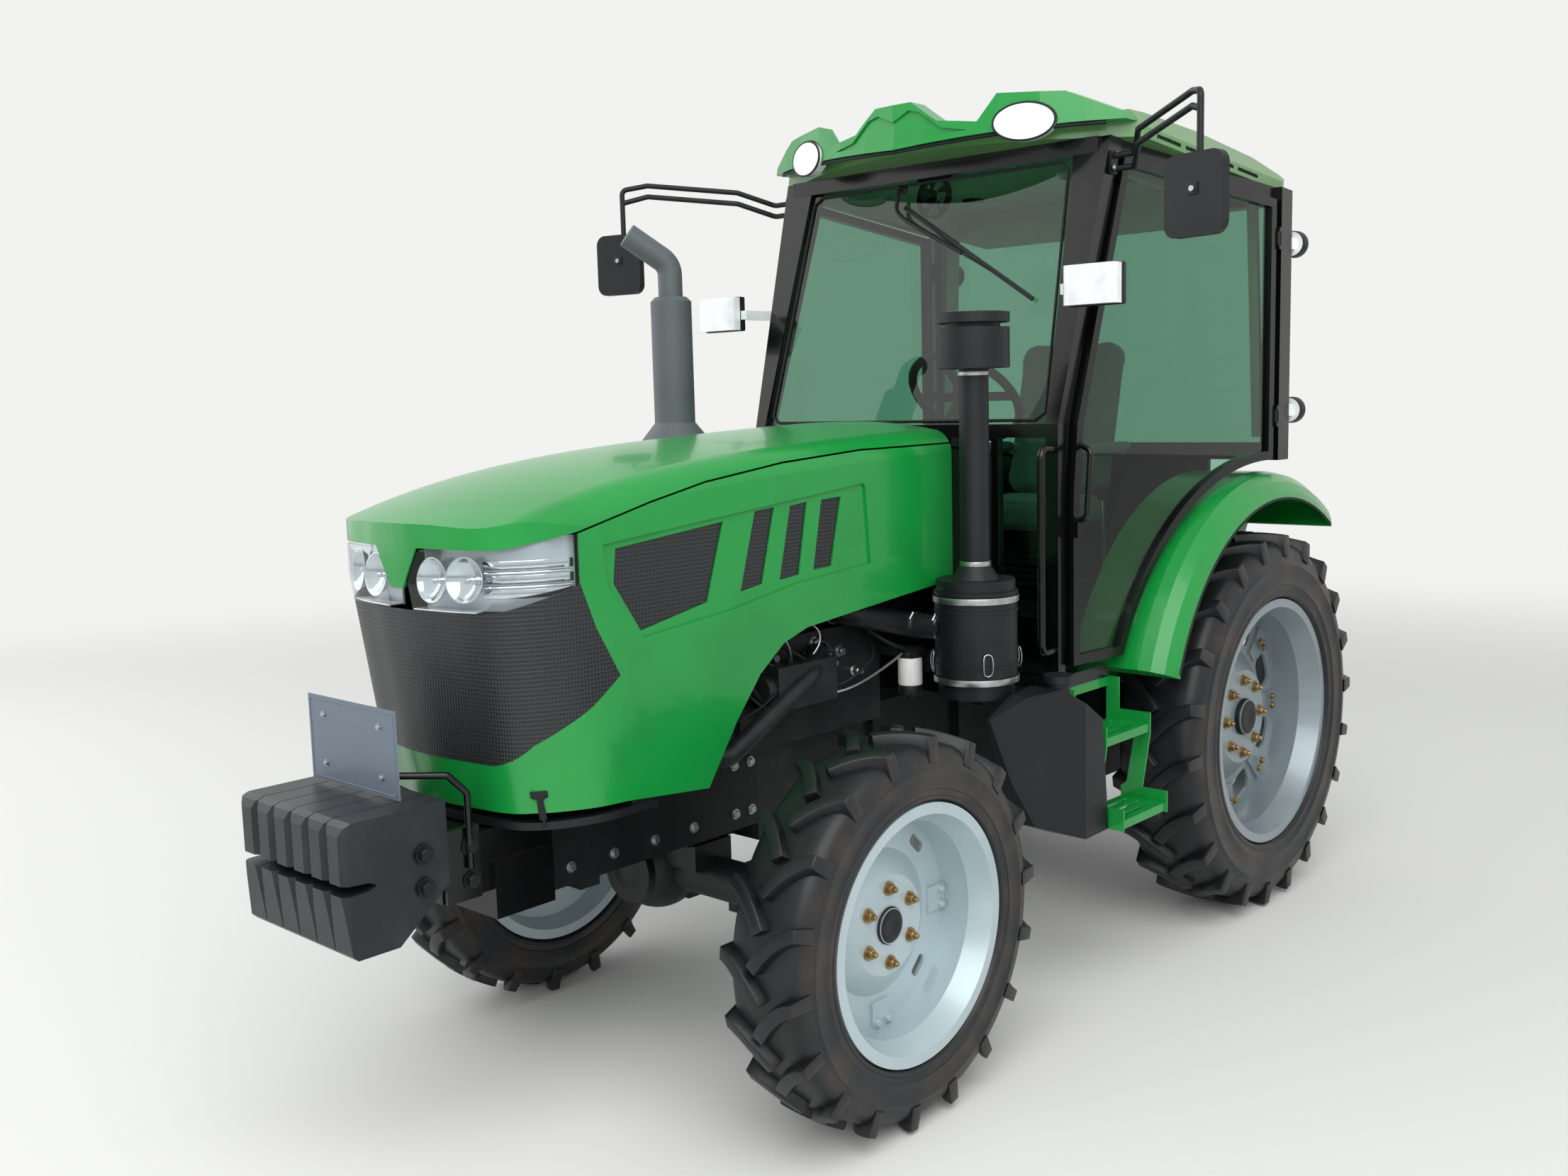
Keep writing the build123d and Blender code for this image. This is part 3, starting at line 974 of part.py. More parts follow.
def visor_outline():
    """The visor's three-peaked front outline, by height above the roof's underside."""
    half = [(0, 17), (300, 30), (550, 39), (VISOR_HALF_WIDTH + 12, 40), (VISOR_HALF_WIDTH, 64), (540, 130),
            (352, 142), (290, 67), (160, 85), (70, 152), (0, 152)]
    return [(x, ROOF_BOTTOM_Z + rise) for x, rise in half]


def roof_lamp_place(depth):
    """The left roof lamp's middle, turned outward with the visor, pushed in by depth."""
    slope = 2 * (VISOR_TIP_Y - VISOR_FRONT_Y) * ROOF_LAMP_X / VISOR_HALF_WIDTH ** 2
    return (Pos(ROOF_LAMP_X, visor_front_y(ROOF_LAMP_X), ROOF_BOTTOM_Z + ROOF_LAMP_RISE)
            * Rot(0, 0, math.degrees(math.atan(slope))) * Pos(0, depth, 0) * Rot(90, 0, 0))


def roof_visor():
    """The front fascia with its three peaks and a pocket for each roof lamp."""
    edge = visor_edge(0)
    crescent = plan_prism(edge + [(x, y + VISOR_DEPTH) for x, y in reversed(edge)], 2300, 2900)
    visor = crescent & front_prism(across(visor_outline()), VISOR_FRONT_Y - 20, VISOR_TIP_Y + VISOR_DEPTH + 60)
    panel = [(0, 100), (60, 128), (100, 118), (175, 62), (260, 46), (60, 40), (0, 40)]
    recess = front_prism(across([(x, ROOF_BOTTOM_Z + rise) for x, rise in panel]), VISOR_FRONT_Y - 20,
                         VISOR_FRONT_Y + 60)
    behind = plan_prism([(x, y + 8) for x, y in edge] + [(edge[-1][0], 1500), (edge[0][0], 1500)], 2300, 2900)
    visor -= recess - behind
    pocket = roof_lamp_place(ROOF_LAMP_DEPTH + SEAT_GAP) * extrude(Ellipse(95 + 4, 55 + 4), amount=120)
    return visor - pocket - mirror(pocket, about=Plane.YZ)


def lamps():
    """Roof lamps, marker lamps beside the pillars and work lamps at the rear."""
    roof = roof_lamp_place(ROOF_LAMP_DEPTH) * extrude(Ellipse(95, 55), amount=ROOF_LAMP_DEPTH + 6)
    marker = block(652, 822, 884, 950, 2055, 2166)
    marker = fillet(marker.edges().filter_by(Axis.Z).group_by(Axis.Y)[0], 22)
    arm = block(pillar_outer_x(2120) + SEAT_GAP, 664, 930, 1090, 2090, 2120)
    out = both_sides(roof) + both_sides(fuse(marker, arm))
    for z in WORK_LAMP_HEIGHTS:
        out += both_sides(fuse(rod_y(725, CAB_BACK_Y + 50, CAB_BACK_Y + 90, z, 42),
                               block(705, 740, CAB_BACK_Y + 20 + SEAT_GAP, CAB_BACK_Y + 55, z - 20, z + 20)))
    return out


def cab_glass():
    """Windscreen, the two low front panes and the rear window."""
    foot = WAIST_Z + SEAT_GAP
    head = ROOF_BOTTOM_Z - RAIL_HEIGHT - 4 - SEAT_GAP
    front = SCREEN_SETBACK
    back = SCREEN_SETBACK + GLASS_THICKNESS
    plane = side_prism([(screen_y(foot) + front, foot), (screen_y(foot) + back, foot),
                        (screen_y(head) + back, head), (screen_y(head) + front, head)], -700, 700)
    taper = (WINDSCREEN_HEAD_HALF_WIDTH - PILLAR_INNER_X + 2) / (ROOF_BOTTOM_Z - WAIST_Z)
    foot_x = PILLAR_INNER_X - 1
    head_x = foot_x + taper * (head - foot)
    screen = plane & front_prism([(-foot_x, foot), (foot_x, foot), (head_x, head), (-head_x, head)], 800, 1400)
    pane = block(POST_X + POST_WIDTH + SEAT_GAP, PILLAR_INNER_X - SEAT_GAP, WINDSCREEN_FOOT_Y,
                 WINDSCREEN_FOOT_Y + GLASS_THICKNESS, CAB_FLOOR_Z + SILL_HEIGHT + SEAT_GAP,
                 WAIST_Z - COWL_HEIGHT - SEAT_GAP)
    side = CAB_REAR_HALF_WIDTH - 56 - SEAT_GAP
    rear = block(-side, side, CAB_BACK_Y - 10, CAB_BACK_Y - 10 + GLASS_THICKNESS,
                 BACK_SILL_Z + BACK_SILL_HEIGHT + SEAT_GAP, ROOF_BOTTOM_Z) & below_rail(RAIL_HEIGHT + 6 + SEAT_GAP)
    return [screen, rear] + both_sides(pane)


def door_outline(inset):
    """The door's edge in side view, drawn in by inset, before its lower corner is cut."""
    drop = RAIL_HEIGHT + PANEL_GAP + inset
    head = ROOF_BOTTOM_Z - drop
    for _ in range(4):
        head = rail_z(pillar_back_y(head) + PANEL_GAP + inset) - drop
    front = [(pillar_back_y(z) + PANEL_GAP + inset, z) for z in (DOOR_BOTTOM_Z + inset, DOOR_KNEE_Z, WAIST_Z, head)]
    rear = DOOR_HINGE_Y - DOOR_REAR_SETBACK - inset
    return front + [(rear, rail_z(rear) - drop), (rear, DOOR_BOTTOM_Z + inset)]


def set_door(solid):
    """Turns what is drawn in side view about the hinge line into the door's own plane."""
    return Pos(CAB_REAR_HALF_WIDTH, DOOR_HINGE_Y, 0) * Rot(0, 0, -DOOR_ANGLE) * Pos(0, -DOOR_HINGE_Y, 0) * solid


def door_panel(inset, depth0, depth1):
    """The door's outline between two depths, cut round over the fender."""
    arch = rod_x(-100, 100, REAR_AXLE_Y, REAR_AXLE_Z, FENDER_CROWN + 40 + inset)
    return side_prism(door_outline(inset), -depth1, -depth0) - arch


def door_frame():
    """The left door's frame with its hinge barrels and its grab handle."""
    frame = door_panel(0, 0, DOOR_THICKNESS) - door_panel(DOOR_FRAME_WIDTH, -10, DOOR_THICKNESS + 10)
    stile_y = pillar_back_y(DOOR_KNEE_Z) + PANEL_GAP + DOOR_FRAME_WIDTH / 2
    handle = pipe([(-5, stile_y, 1430), (34, stile_y + 4, 1445), (34, stile_y + 22, 1640), (-5, stile_y + 22, 1660)],
                  9, 18)
    lock = block(-8, 14, stile_y - 14, stile_y + 16, 1385, 1432)
    frame = set_door(fuse(frame, handle, lock))
    for z in door_hinge_heights():
        top = z + DOOR_BARREL_LENGTH
        barrel = rod_z(CAB_REAR_HALF_WIDTH, DOOR_HINGE_Y, z, top, DOOR_BARREL_RADIUS)
        leaf = block(CAB_REAR_HALF_WIDTH - 14, CAB_REAR_HALF_WIDTH - 4, DOOR_HINGE_Y - 30, DOOR_HINGE_Y, z, top)
        bore = rod_z(CAB_REAR_HALF_WIDTH, DOOR_HINGE_Y, z - 1, top + 1, DOOR_PIN_RADIUS + PIN_CLEARANCE)
        frame = fuse(frame, barrel, leaf) - bore
    return frame


def door_glass():
    """The left door's pane."""
    middle = DOOR_THICKNESS / 2
    return set_door(door_panel(DOOR_FRAME_WIDTH + SEAT_GAP, middle - GLASS_THICKNESS / 2,
                               middle + GLASS_THICKNESS / 2))


def tread(x0, x1, z):
    """A slotted tread between the step's side plates."""
    y0 = STEP_FRONT_Y + STEP_WALL - 1
    y1 = STEP_REAR_Y + 1
    plate = block(x0, x1, y0, y1, z - 5, z)
    flanges = [block(x, x + 5, y0, y1, z - 26, z) for x in (x0, x1 - 5)]
    slots = [Pos(x, (y0 + y1) / 2, z) * extrude(RectangleRounded(14, y1 - y0 - 60, 6.5), amount=20, both=True)
             for x in (x0 + 34, (x0 + x1) / 2, x1 - 34)]
    return fuse(plate, *flanges).cut(*slots)


def steps():
    """Green steps under both doors: two zigzag side plates and two slotted treads."""
    top = CAB_FLOOR_Z - SEAT_GAP
    high = UPPER_TREAD_Z
    low = LOWER_TREAD_Z
    outer = TREAD_OUTER_X
    outline = [(596, top), (640, top), (640, high + 34), (748, high + 34), (748, high - 30), (722, low + 36),
               (outer + 6, low + 36), (outer + 6, low - 30), (648, low - 30), (648, low + 30), (668, low + 46),
               (694, high - 40), (596, high - 40)]
    plates = [front_prism(outline, y, y + STEP_WALL) for y in (STEP_FRONT_Y, STEP_REAR_Y)]
    hanger = block(FLOOR_HALF_WIDTH, 604, STEP_FRONT_Y, STEP_REAR_Y + STEP_WALL, 900, top)
    return both_sides(fuse(*plates, tread(604, 744, high), tread(652, outer, low), hanger))


def fuel_tank():
    """The moulded tank ahead of the left step, its outer face slanting in towards the front."""
    outline = [(659, 966), (767, 977), (934, 868), (968, 530), (840, 528), (681, 590), (610, 726), (546, 914)]
    plan = [(TANK_INNER_X, 500), (TANK_INNER_X + 8, 540), (TANK_OUTER_X, 840), (TANK_OUTER_X, 1000),
            (TANK_INNER_X, 1000)]
    tank = side_prism(outline, TANK_INNER_X, TANK_OUTER_X) & plan_prism(plan, 400, 1100)
    neck = rod_z(694, 800, 930, 994, 34)
    cap = rod_z(694, 800, 990, 1012, 42)
    bracket = block(CLUTCH_HALF_WIDTH + SEAT_GAP, TANK_INNER_X + 5, 760, 800, 640, 690)
    return fuse(tank, neck, cap, bracket)


def battery_box():
    """The battery box ahead of the right step."""
    outline = [(600, 860), (940, 860), (965, 830), (965, 540), (640, 540), (600, 640)]
    box = side_prism(outline, -TANK_OUTER_X, -TANK_INNER_X)
    lid = block(-TANK_OUTER_X - 6, -TANK_INNER_X + 6, 596, 946, 859, 872)
    bracket = block(-TANK_INNER_X - 5, -CLUTCH_HALF_WIDTH - SEAT_GAP, 760, 800, 640, 690)
    return fuse(box, lid, bracket)


def mirrors():
    """A rounded mirror on two bent tubes at each side of the cab's head."""
    tubes = []
    face = pillar_outer_x(MIRROR_ARM_Z + 14) + SEAT_GAP
    for z, tail in ((MIRROR_ARM_Z, [(1110, 815, MIRROR_ARM_Z + 66), (1110, 815, 2310)]),
                    (MIRROR_ARM_Z - 38, [(1107, 818, MIRROR_ARM_Z + 22)])):
        tubes.append(pipe([(face + 2, 1190, z), (715, 1190, z), (790, 1075, z + 44), (1052, 885, z + 82)] + tail,
                          9, 20))
    flange = block(face, face + 7, 1172, 1208, MIRROR_ARM_Z - 52, MIRROR_ARM_Z + 14)
    head = Pos(1110, 795, 2305) * Rot(0, 0, -12) * Rot(90, 0, 0) * extrude(RectangleRounded(186, 210, 34), amount=13,
                                                                        both=True)
    return both_sides(fuse(*tubes, flange, head))


def handrails():
    """The upright grab tubes ahead of the doors."""
    y = POST_FRONT_Y - SEAT_GAP
    return both_sides(pipe([(588, y, 1050), (588, 880, 1050), (588, 880, 1650), (588, y, 1650)], 12, 25))


def seat():
    """The driver's seat: pedestal, cushion, back and armrests."""
    foot = CAB_FLOOR_Z + SEAT_PLATFORM_RISE + SEAT_GAP
    base = block(-150, 150, 1560, 1860, foot, foot + 60)
    bellows = block(-125, 125, 1590, 1840, foot + 50, 1300)
    pan = block(-190, 190, 1520, 1920, 1290, 1340)
    cushion = Pos(0, 1715, 1338) * extrude(RectangleRounded(470, 470, 70), amount=104)
    cushion = fillet(cushion.edges().group_by(Axis.Z)[-1], 30)
    back = side_prism([(1905, 1400), (1990, 1400), (2100, 2010), (2030, 2030)], -225, 225)
    back = fillet(back.edges().filter_by(lambda e: abs(e.center().X) > 220 and e.length > 300), 32)
    rests = [fuse(side_prism([(1600, 1590), (1985, 1600), (1985, 1640), (1600, 1640)], x, x + 50),
                  block(*sorted((x + 25, x + 25 - math.copysign(50, x))), 1940, 1985, 1595, 1635))
             for x in (-275, 225)]
    return fuse(base, bellows, pan, cushion, back, *rests)


def console():
    """The dash with its hood, the steering column and the steering wheel."""
    floor = TRAY_TOP_Z + SEAT_GAP
    tower = side_prism([(990, floor), (1200, floor), (1230, 1600), (1110, 1720), (990, 1690)], -190, 190)
    column = pipe([(0, 1150, 1600), (0, 1230, 1700), (0, 1330, 1800)], 28, 20)
    place = Pos(0, 1335, 1805) * Rot(-45, 0, 0)
    wheel = place * Torus(195, 15)
    spokes = place * (Box(390, 30, 12) + Pos(0, -95, 0) * Box(30, 190, 12) + Cylinder(45, 24))
    return fuse(tower, column, wheel + spokes)


def arm_bar(x0, x1, y, z, length, angle, height, bores):
    """A flat bar with round ends, from (y, z) along an angle in degrees, with bores of given radii."""
    solid = fuse(block(x0, x1, 0, length, -height / 2, height / 2), rod_x(x0, x1, 0, 0, height / 2 + 6),
                 rod_x(x0, x1, length, 0, height / 2 + 6))
    for at, radius in bores:
        solid -= rod_x(x0 - 1, x1 + 1, at, 0, radius)
    return Pos(0, y, z) * Rot(angle, 0, 0) * solid


def lower_link():
    """The left lower link, with its pin to the lift rod."""
    outer = LINK_INNER_X + LINK_WIDTH
    link = arm_bar(LINK_INNER_X, outer, LINK_PIVOT_Y, LINK_PIVOT_Z, LINK_REACH, math.degrees(LINK_ANGLE), 56,
                   [(0, HITCH_PIN_RADIUS + PIN_CLEARANCE), (LINK_REACH, LINK_EYE_RADIUS)])
    return fuse(link, rod_x(LIFT_ROD_X - 14, outer, PIN_Y, PIN_Z, HITCH_PIN_RADIUS))


def lift_arms():
    """Both lift arms on the rockshaft, each with its pin."""
    z = LINK_PIVOT_Z + ROCKSHAFT_RISE
    inner = LIFT_ROD_X - 46
    arm = arm_bar(inner, inner + 28, LINK_PIVOT_Y, z, LIFT_ROD_REACH, math.degrees(LINK_ANGLE), 50, [])
    hub = rod_x(inner - 54, inner + 2, LINK_PIVOT_Y, z, 46)
    pin = rod_x(inner, LIFT_ROD_X + 14, PIN_Y, PIN_Z + ROCKSHAFT_RISE, HITCH_PIN_RADIUS)
    socket = rod_x(inner - 55, ROCKSHAFT_HALF_LENGTH + SEAT_GAP, LINK_PIVOT_Y, z, ROCKSHAFT_RADIUS + PIN_CLEARANCE)
    return both_sides(fuse(arm, hub, pin) - socket)


def lift_rod():
    """The left lift rod between the lift arm's pin and the lower link's."""
    bore = HITCH_PIN_RADIUS + PIN_CLEARANCE
    return arm_bar(LIFT_ROD_X - 12, LIFT_ROD_X + 12, PIN_Y, PIN_Z, ROCKSHAFT_RISE, 90, 26,
                   [(0, bore), (ROCKSHAFT_RISE, bore)])


def drawbar():
    """The drawbar and its hanger under the rear housing."""
    hole_y = REAR_AXLE_Y + DRAWBAR_HOLE_BEHIND_AXLE
    bar = block(-38, 38, REAR_AXLE_Y - 127, hole_y + 40, DRAWBAR_TOP_Z - 30, DRAWBAR_TOP_Z)
    bar -= rod_z(0, hole_y, DRAWBAR_TOP_Z - 40, DRAWBAR_TOP_Z + 10, DRAWBAR_HOLE_RADIUS)
    top = REAR_HOUSING_BOTTOM_Z - SEAT_GAP
    rear = block(-70, 70, HOUSING_REAR_Y - 70, HOUSING_REAR_Y - 30, DRAWBAR_TOP_Z - 50, top)
    front = block(-70, 70, REAR_AXLE_Y - 120, REAR_AXLE_Y - 80, DRAWBAR_TOP_Z - 44, top)
    return fuse(bar, rear, front)


def top_bracket():
    """Two ears behind the rear housing for a top link's pin."""
    face = HOUSING_REAR_Y + SEAT_GAP
    base = block(-60, 60, face, face + 16, TOP_LINK_Z - 100, TOP_LINK_Z + 36)
    ears = [block(x, x + 16, face + 10, face + 60, TOP_LINK_Z - 70, TOP_LINK_Z + 30) for x in (-40, 24)]
    return fuse(base, *ears) - rod_x(-100, 100, HOUSING_REAR_Y + 38, TOP_LINK_Z, TOP_LINK_BORE_RADIUS)


def at_axle(solid, track, y, z):
    """Moves what is drawn about the X axis to the left wheel's centre."""
    return Pos(track / 2, y, z) * solid


front_tyre = tyre(FRONT_TYRE_RADIUS, FRONT_TYRE_WIDTH, FRONT_SEAT_RADIUS, FRONT_RIM_WIDTH, FRONT_LUGS)
rear_tyre = tyre(REAR_TYRE_RADIUS, REAR_TYRE_WIDTH, REAR_SEAT_RADIUS, REAR_RIM_WIDTH, REAR_LUGS)
nodes = {
    "front_bolster": front_bolster(),
    "weight_carrier": weight_carrier(),
    "number_plate": number_plate(),
    "front_weights": front_weights(),
    "front_axle": front_axle(),
    "tie_rod": tie_rod(),
    "engine": engine(),
    "radiator": radiator(),
    "air_cleaner": air_cleaner(),
    "exhaust": exhaust(),
    "transmission": transmission(),
    "hood": hood(),
    "side_panels": side_panels(),
    "grille": grille(),
    "headlamps": headlamps(),
    "nose_surround": nose_surround(),
    "bulkhead": bulkhead(),
    "cab_frame": cab_frame(),
    "cab_floor": cab_floor(),
    "cab_roof": cab_roof(),
    "roof_visor": roof_visor(),
    "lamps": lamps(),
    "cab_glass": cab_glass(),
    "fenders": both_sides(fender()),
    "steps": steps(),
    "fuel_tank": fuel_tank(),
    "battery_box": battery_box(),
    "mirrors": mirrors(),
    "handrails": handrails(),
    "seat": seat(),
    "console": console(),
    "lower_links": both_sides(lower_link()),
    "lift_arms": lift_arms(),
    "lift_rods": both_sides(lift_rod()),
    "drawbar": drawbar(),
    "top_bracket": top_bracket(),
}
for name, solid in (("door_frame", door_frame()), ("door_glass", door_glass()), ("knuckle", knuckle()),
                    ("front_rim", at_axle(front_wheel_rim(), FRONT_TRACK, 0, FRONT_AXLE_Z)),
                    ("front_tyre", at_axle(front_tyre, FRONT_TRACK, 0, FRONT_AXLE_Z)),
                    ("rear_rim", at_axle(rear_wheel_rim(), REAR_TRACK, REAR_AXLE_Y, REAR_AXLE_Z)),
                    ("rear_tyre", at_axle(rear_tyre, REAR_TRACK, REAR_AXLE_Y, REAR_AXLE_Z))):
    nodes[name + "_left"], nodes[name + "_right"] = both_sides(solid)

os.makedirs("parts", exist_ok=True)
for name, shape in nodes.items():
    solids = []
    for piece in (shape if isinstance(shape, list) else [shape]):
        solids += piece.solids()
    moved = [Pos(0, -ORIGIN_BEHIND_FRONT_AXLE, 0) * solid for solid in solids]
    export_step(Compound(moved) if len(moved) > 1 else moved[0], f"parts/{name}.step")
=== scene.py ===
"""The looks of a four-wheel-drive farm tractor with a closed cab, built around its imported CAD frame.

The frame is in metres: the nose looks along -Y, the tractor's left side is +X and the ground is at z = 0.
The drawing is in millimetres, with y counted backwards from the front axle, and at() turns it to the frame.
"""

from __future__ import annotations

import logging
import math
from dataclasses import dataclass, field
from enum import Enum

import bpy
from mathutils import Matrix, Vector

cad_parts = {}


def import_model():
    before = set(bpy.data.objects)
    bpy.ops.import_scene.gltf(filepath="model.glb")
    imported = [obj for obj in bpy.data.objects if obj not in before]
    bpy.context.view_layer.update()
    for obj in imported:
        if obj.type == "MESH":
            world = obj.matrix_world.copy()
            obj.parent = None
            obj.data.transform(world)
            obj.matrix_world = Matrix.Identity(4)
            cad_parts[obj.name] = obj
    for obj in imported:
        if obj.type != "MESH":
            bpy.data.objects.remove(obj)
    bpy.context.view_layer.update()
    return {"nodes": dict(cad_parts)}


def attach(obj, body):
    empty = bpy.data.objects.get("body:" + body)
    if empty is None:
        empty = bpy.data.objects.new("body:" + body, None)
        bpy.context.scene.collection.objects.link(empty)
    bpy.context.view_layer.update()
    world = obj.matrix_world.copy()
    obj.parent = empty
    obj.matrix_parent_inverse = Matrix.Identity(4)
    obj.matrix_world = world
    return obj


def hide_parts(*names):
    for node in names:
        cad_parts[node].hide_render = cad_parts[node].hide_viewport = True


LOG = logging.getLogger("tractor")

MILLIMETRE = 0.001
MERGE_DISTANCE = 0.00002
DRAWING_ORIGIN_Y = 0.891
LEFT = Vector((1.0, 0.0, 0.0))
FORWARD = Vector((0.0, -1.0, 0.0))
UP = Vector((0.0, 0.0, 1.0))
DOWN = Vector((0.0, 0.0, -1.0))

# The camera of the photograph, solved from the wheels and the cab
CAMERA_PLACE = (2.9196, -3.6557, 1.8117)
CAMERA_YAW = 42.643
CAMERA_PITCH = 7.30
CAMERA_ROLL = -1.54
CAMERA_LENS = 33.68
SENSOR_WIDTH = 36.0

# Sizes on the drawing that several assemblies share; the roof's fall and the screen's rake are slopes
FRONT_AXLE_Z = 500.0
REAR_AXLE_Y = 2077.0
REAR_AXLE_Z = 656.0
DECK_Z = 1090.4
CANISTER = (495, 680)
ROOF_FALL = -0.082
ROOF_HEAD_Y = 1181.0
ROOF_HEAD_Z = 2560.0
SCREEN_FOOT_Y = 951
SCREEN_FOOT_Z = 1722
SCREEN_RAKE = 0.2745
SCREEN_INSET = 11

Flat = tuple[float, float]
Point = tuple[float, float, float]
Piece = bpy.types.Object
Tree = bpy.types.NodeTree
Socket = bpy.types.NodeSocket


class Side(Enum):
    """The tractor's two sides, by the sign of X."""

    LEFT = 1
    RIGHT = -1

    @property
    def word(self) -> str:
        """The side's name as the CAD nodes and bodies end."""
        return self.name.lower()

    @property
    def out(self) -> Vector:
        """The way out from the tractor on this side."""
        return Vector((float(self.value), 0.0, 0.0))


def linear(hex_colour: str) -> tuple[float, float, float, float]:
    """Turns an sRGB hex colour to linear light.

    Args:
        hex_colour: Six hex digits after a hash.

    Returns:
        Red, green, blue and an alpha of 1.
    """
    levels = [int(hex_colour[digit:digit + 2], 16) / 255 for digit in (1, 3, 5)]
    red, green, blue = (v / 12.92 if v <= 0.04045 else ((v + 0.055) / 1.055) ** 2.4 for v in levels)
    return red, green, blue, 1.0


def add_node(tree: Tree, kind: str, settings: dict | None = None, links: dict | None = None) -> bpy.types.Node:
    """Adds one shader node.

    Args:
        tree: The material's node tree.
        kind: The node's Blender type name.
        settings: Values by socket name, or by attribute name where no socket has it.
        links: Output sockets by the name or number of the input that they feed.

    Returns:
        The new node.
    """
    node = tree.nodes.new(kind)
    for name, value in (settings or {}).items():
        if name in node.inputs:
            node.inputs[name].default_value = value
        else:
            setattr(node, name, value)
    for name, socket in (links or {}).items():
        tree.links.new(socket, node.inputs[name])
    return node


def blank_material(name: str) -> tuple[bpy.types.Material, Tree, Socket]:
    """Starts a material with no nodes but its object coordinates.

    Args:
        name: The material's name.

    Returns:
        The material, its node tree and the object coordinate socket.
    """
    material = bpy.data.materials.new(name)
    material.use_nodes = True
    tree = material.node_tree
    tree.nodes.clear()
    place = add_node(tree, "ShaderNodeTexCoord").outputs["Object"]
    return material, tree, place


def mottled(tree: Tree, place: Socket, colours: tuple[str, str], patch: float, stops: Flat) -> Socket:
    """Blends two colours by noise.

    Args:
        tree: The material's node tree.
        place: The coordinates that the noise reads.
        colours: The commoner and the rarer colour's hex.
        patch: The size of the patches.
        stops: The noise levels at which each colour is full.

    Returns:
        The colour socket.
    """
    noise = add_node(tree, "ShaderNodeTexNoise", {"Scale": 1 / patch, "Detail": 5.0}, {"Vector": place})
    ramp = add_node(tree, "ShaderNodeValToRGB", links={"Fac": noise.outputs["Fac"]})
    for stop, position, colour in zip(ramp.color_ramp.elements, stops, colours):
        stop.position = position
        stop.color = linear(colour)
    return ramp.outputs["Color"]


class Relief(Enum):
    """The fine forms of a surface: a texture's node, its settings and its height output."""

    GRAINS = ("ShaderNodeTexNoise", {"Detail": 3.0}, "Fac")
    CELLS = ("ShaderNodeTexVoronoi", {}, "Distance")


def bumped(tree: Tree, place: Socket, relief: Relief, grain: float, depth: float) -> Socket:
    """Roughens a surface's normal with a fine relief.

    Args:
        tree: The material's node tree.
        place: The coordinates that the relief reads.
        relief: The relief's form.
        grain: The size of the bumps.
        depth: How high they stand.

    Returns:
        The normal socket.
    """
    kind, settings, output = relief.value
    texture = add_node(tree, kind, {"Scale": 1 / grain, **settings}, {"Vector": place})
    return add_node(tree, "ShaderNodeBump", {"Distance": depth, "Strength": 1.0},
                    {"Height": texture.outputs[output]}).outputs["Normal"]


@dataclass(frozen=True)
class Surface:
    """An opaque finish: patches of two colours over a fine relief."""

    name: str
    colour: str
    second: str
    roughness: float
    grain: float
    depth: float
    patch: float = 0.1
    stops: Flat = (0.4, 0.9)
    metallic: float = 0.0
    coat: float = 0.0
    coat_roughness: float = 0.03
    specular: float = 0.5
    ior: float = 1.5
    relief: Relief = Relief.GRAINS

    def build(self) -> bpy.types.Material:
        """Makes the material.

        Returns:
            The material.
        """
        material, tree, place = blank_material(self.name)
        colour = mottled(tree, place, (self.colour, self.second), self.patch, self.stops)
        shader = add_node(tree, "ShaderNodeBsdfPrincipled",
                          {"Roughness": self.roughness, "Metallic": self.metallic, "IOR": self.ior,
                           "Coat Weight": self.coat, "Coat Roughness": self.coat_roughness,
                           "Specular IOR Level": self.specular},
                          {"Base Color": colour,
                           "Normal": bumped(tree, place, self.relief, self.grain, self.depth)})
        add_node(tree, "ShaderNodeOutputMaterial", links={"Surface": shader.outputs["BSDF"]})
        return material


@dataclass(frozen=True)
class Enamel(Surface):
    """Sprayed enamel on sheet steel: a glossy coat with faint orange peel and a trace of dust."""

    roughness: float = 0.28
    grain: float = 9 * MILLIMETRE
    depth: float = 0.06 * MILLIMETRE
    patch: float = 0.22
    stops: Flat = (0.5, 0.95)
    coat: float = 0.3
    coat_roughness: float = 0.08
    specular: float = 0.4


@dataclass(frozen=True)
class Casting(Surface):
    """Painted cast iron: a sand-grained surface under a half-matt coat, dustier in patches."""

    roughness: float = 0.5
    grain: float = 4 * MILLIMETRE
    depth: float = 0.5 * MILLIMETRE
    patch: float = 0.09
    stops: Flat = (0.45, 0.85)
    coat: float = 0.12
    coat_roughness: float = 0.3
    specular: float = 0.3


@dataclass(frozen=True)
class Moulding(Surface):
    """Moulded polypropylene or rubber: a fine leather grain, half matt."""

    roughness: float = 0.45
    grain: float = 3 * MILLIMETRE
    depth: float = 0.12 * MILLIMETRE
    patch: float = 0.12
    specular: float = 0.32
    ior: float = 1.49
    relief: Relief = Relief.CELLS


@dataclass(frozen=True)
class LampLens(Surface):
    """Clear polycarbonate over a bright reflector, drawn opaque: its white is a painted reflection of the reflector
    behind; ribbed and very smooth.
    """

    roughness: float = 0.12
    grain: float = 14 * MILLIMETRE
    depth: float = 0.3 * MILLIMETRE
    patch: float = 0.05
    stops: Flat = (0.35, 0.75)
    coat: float = 0.6
    ior: float = 1.58


@dataclass(frozen=True)
class Metal(Surface):
    """Bare or plated metal with faint handling marks."""

    roughness: float = 0.35
    grain: float = 2 * MILLIMETRE
    depth: float = 0.03 * MILLIMETRE
    patch: float = 0.03
    metallic: float = 1.0


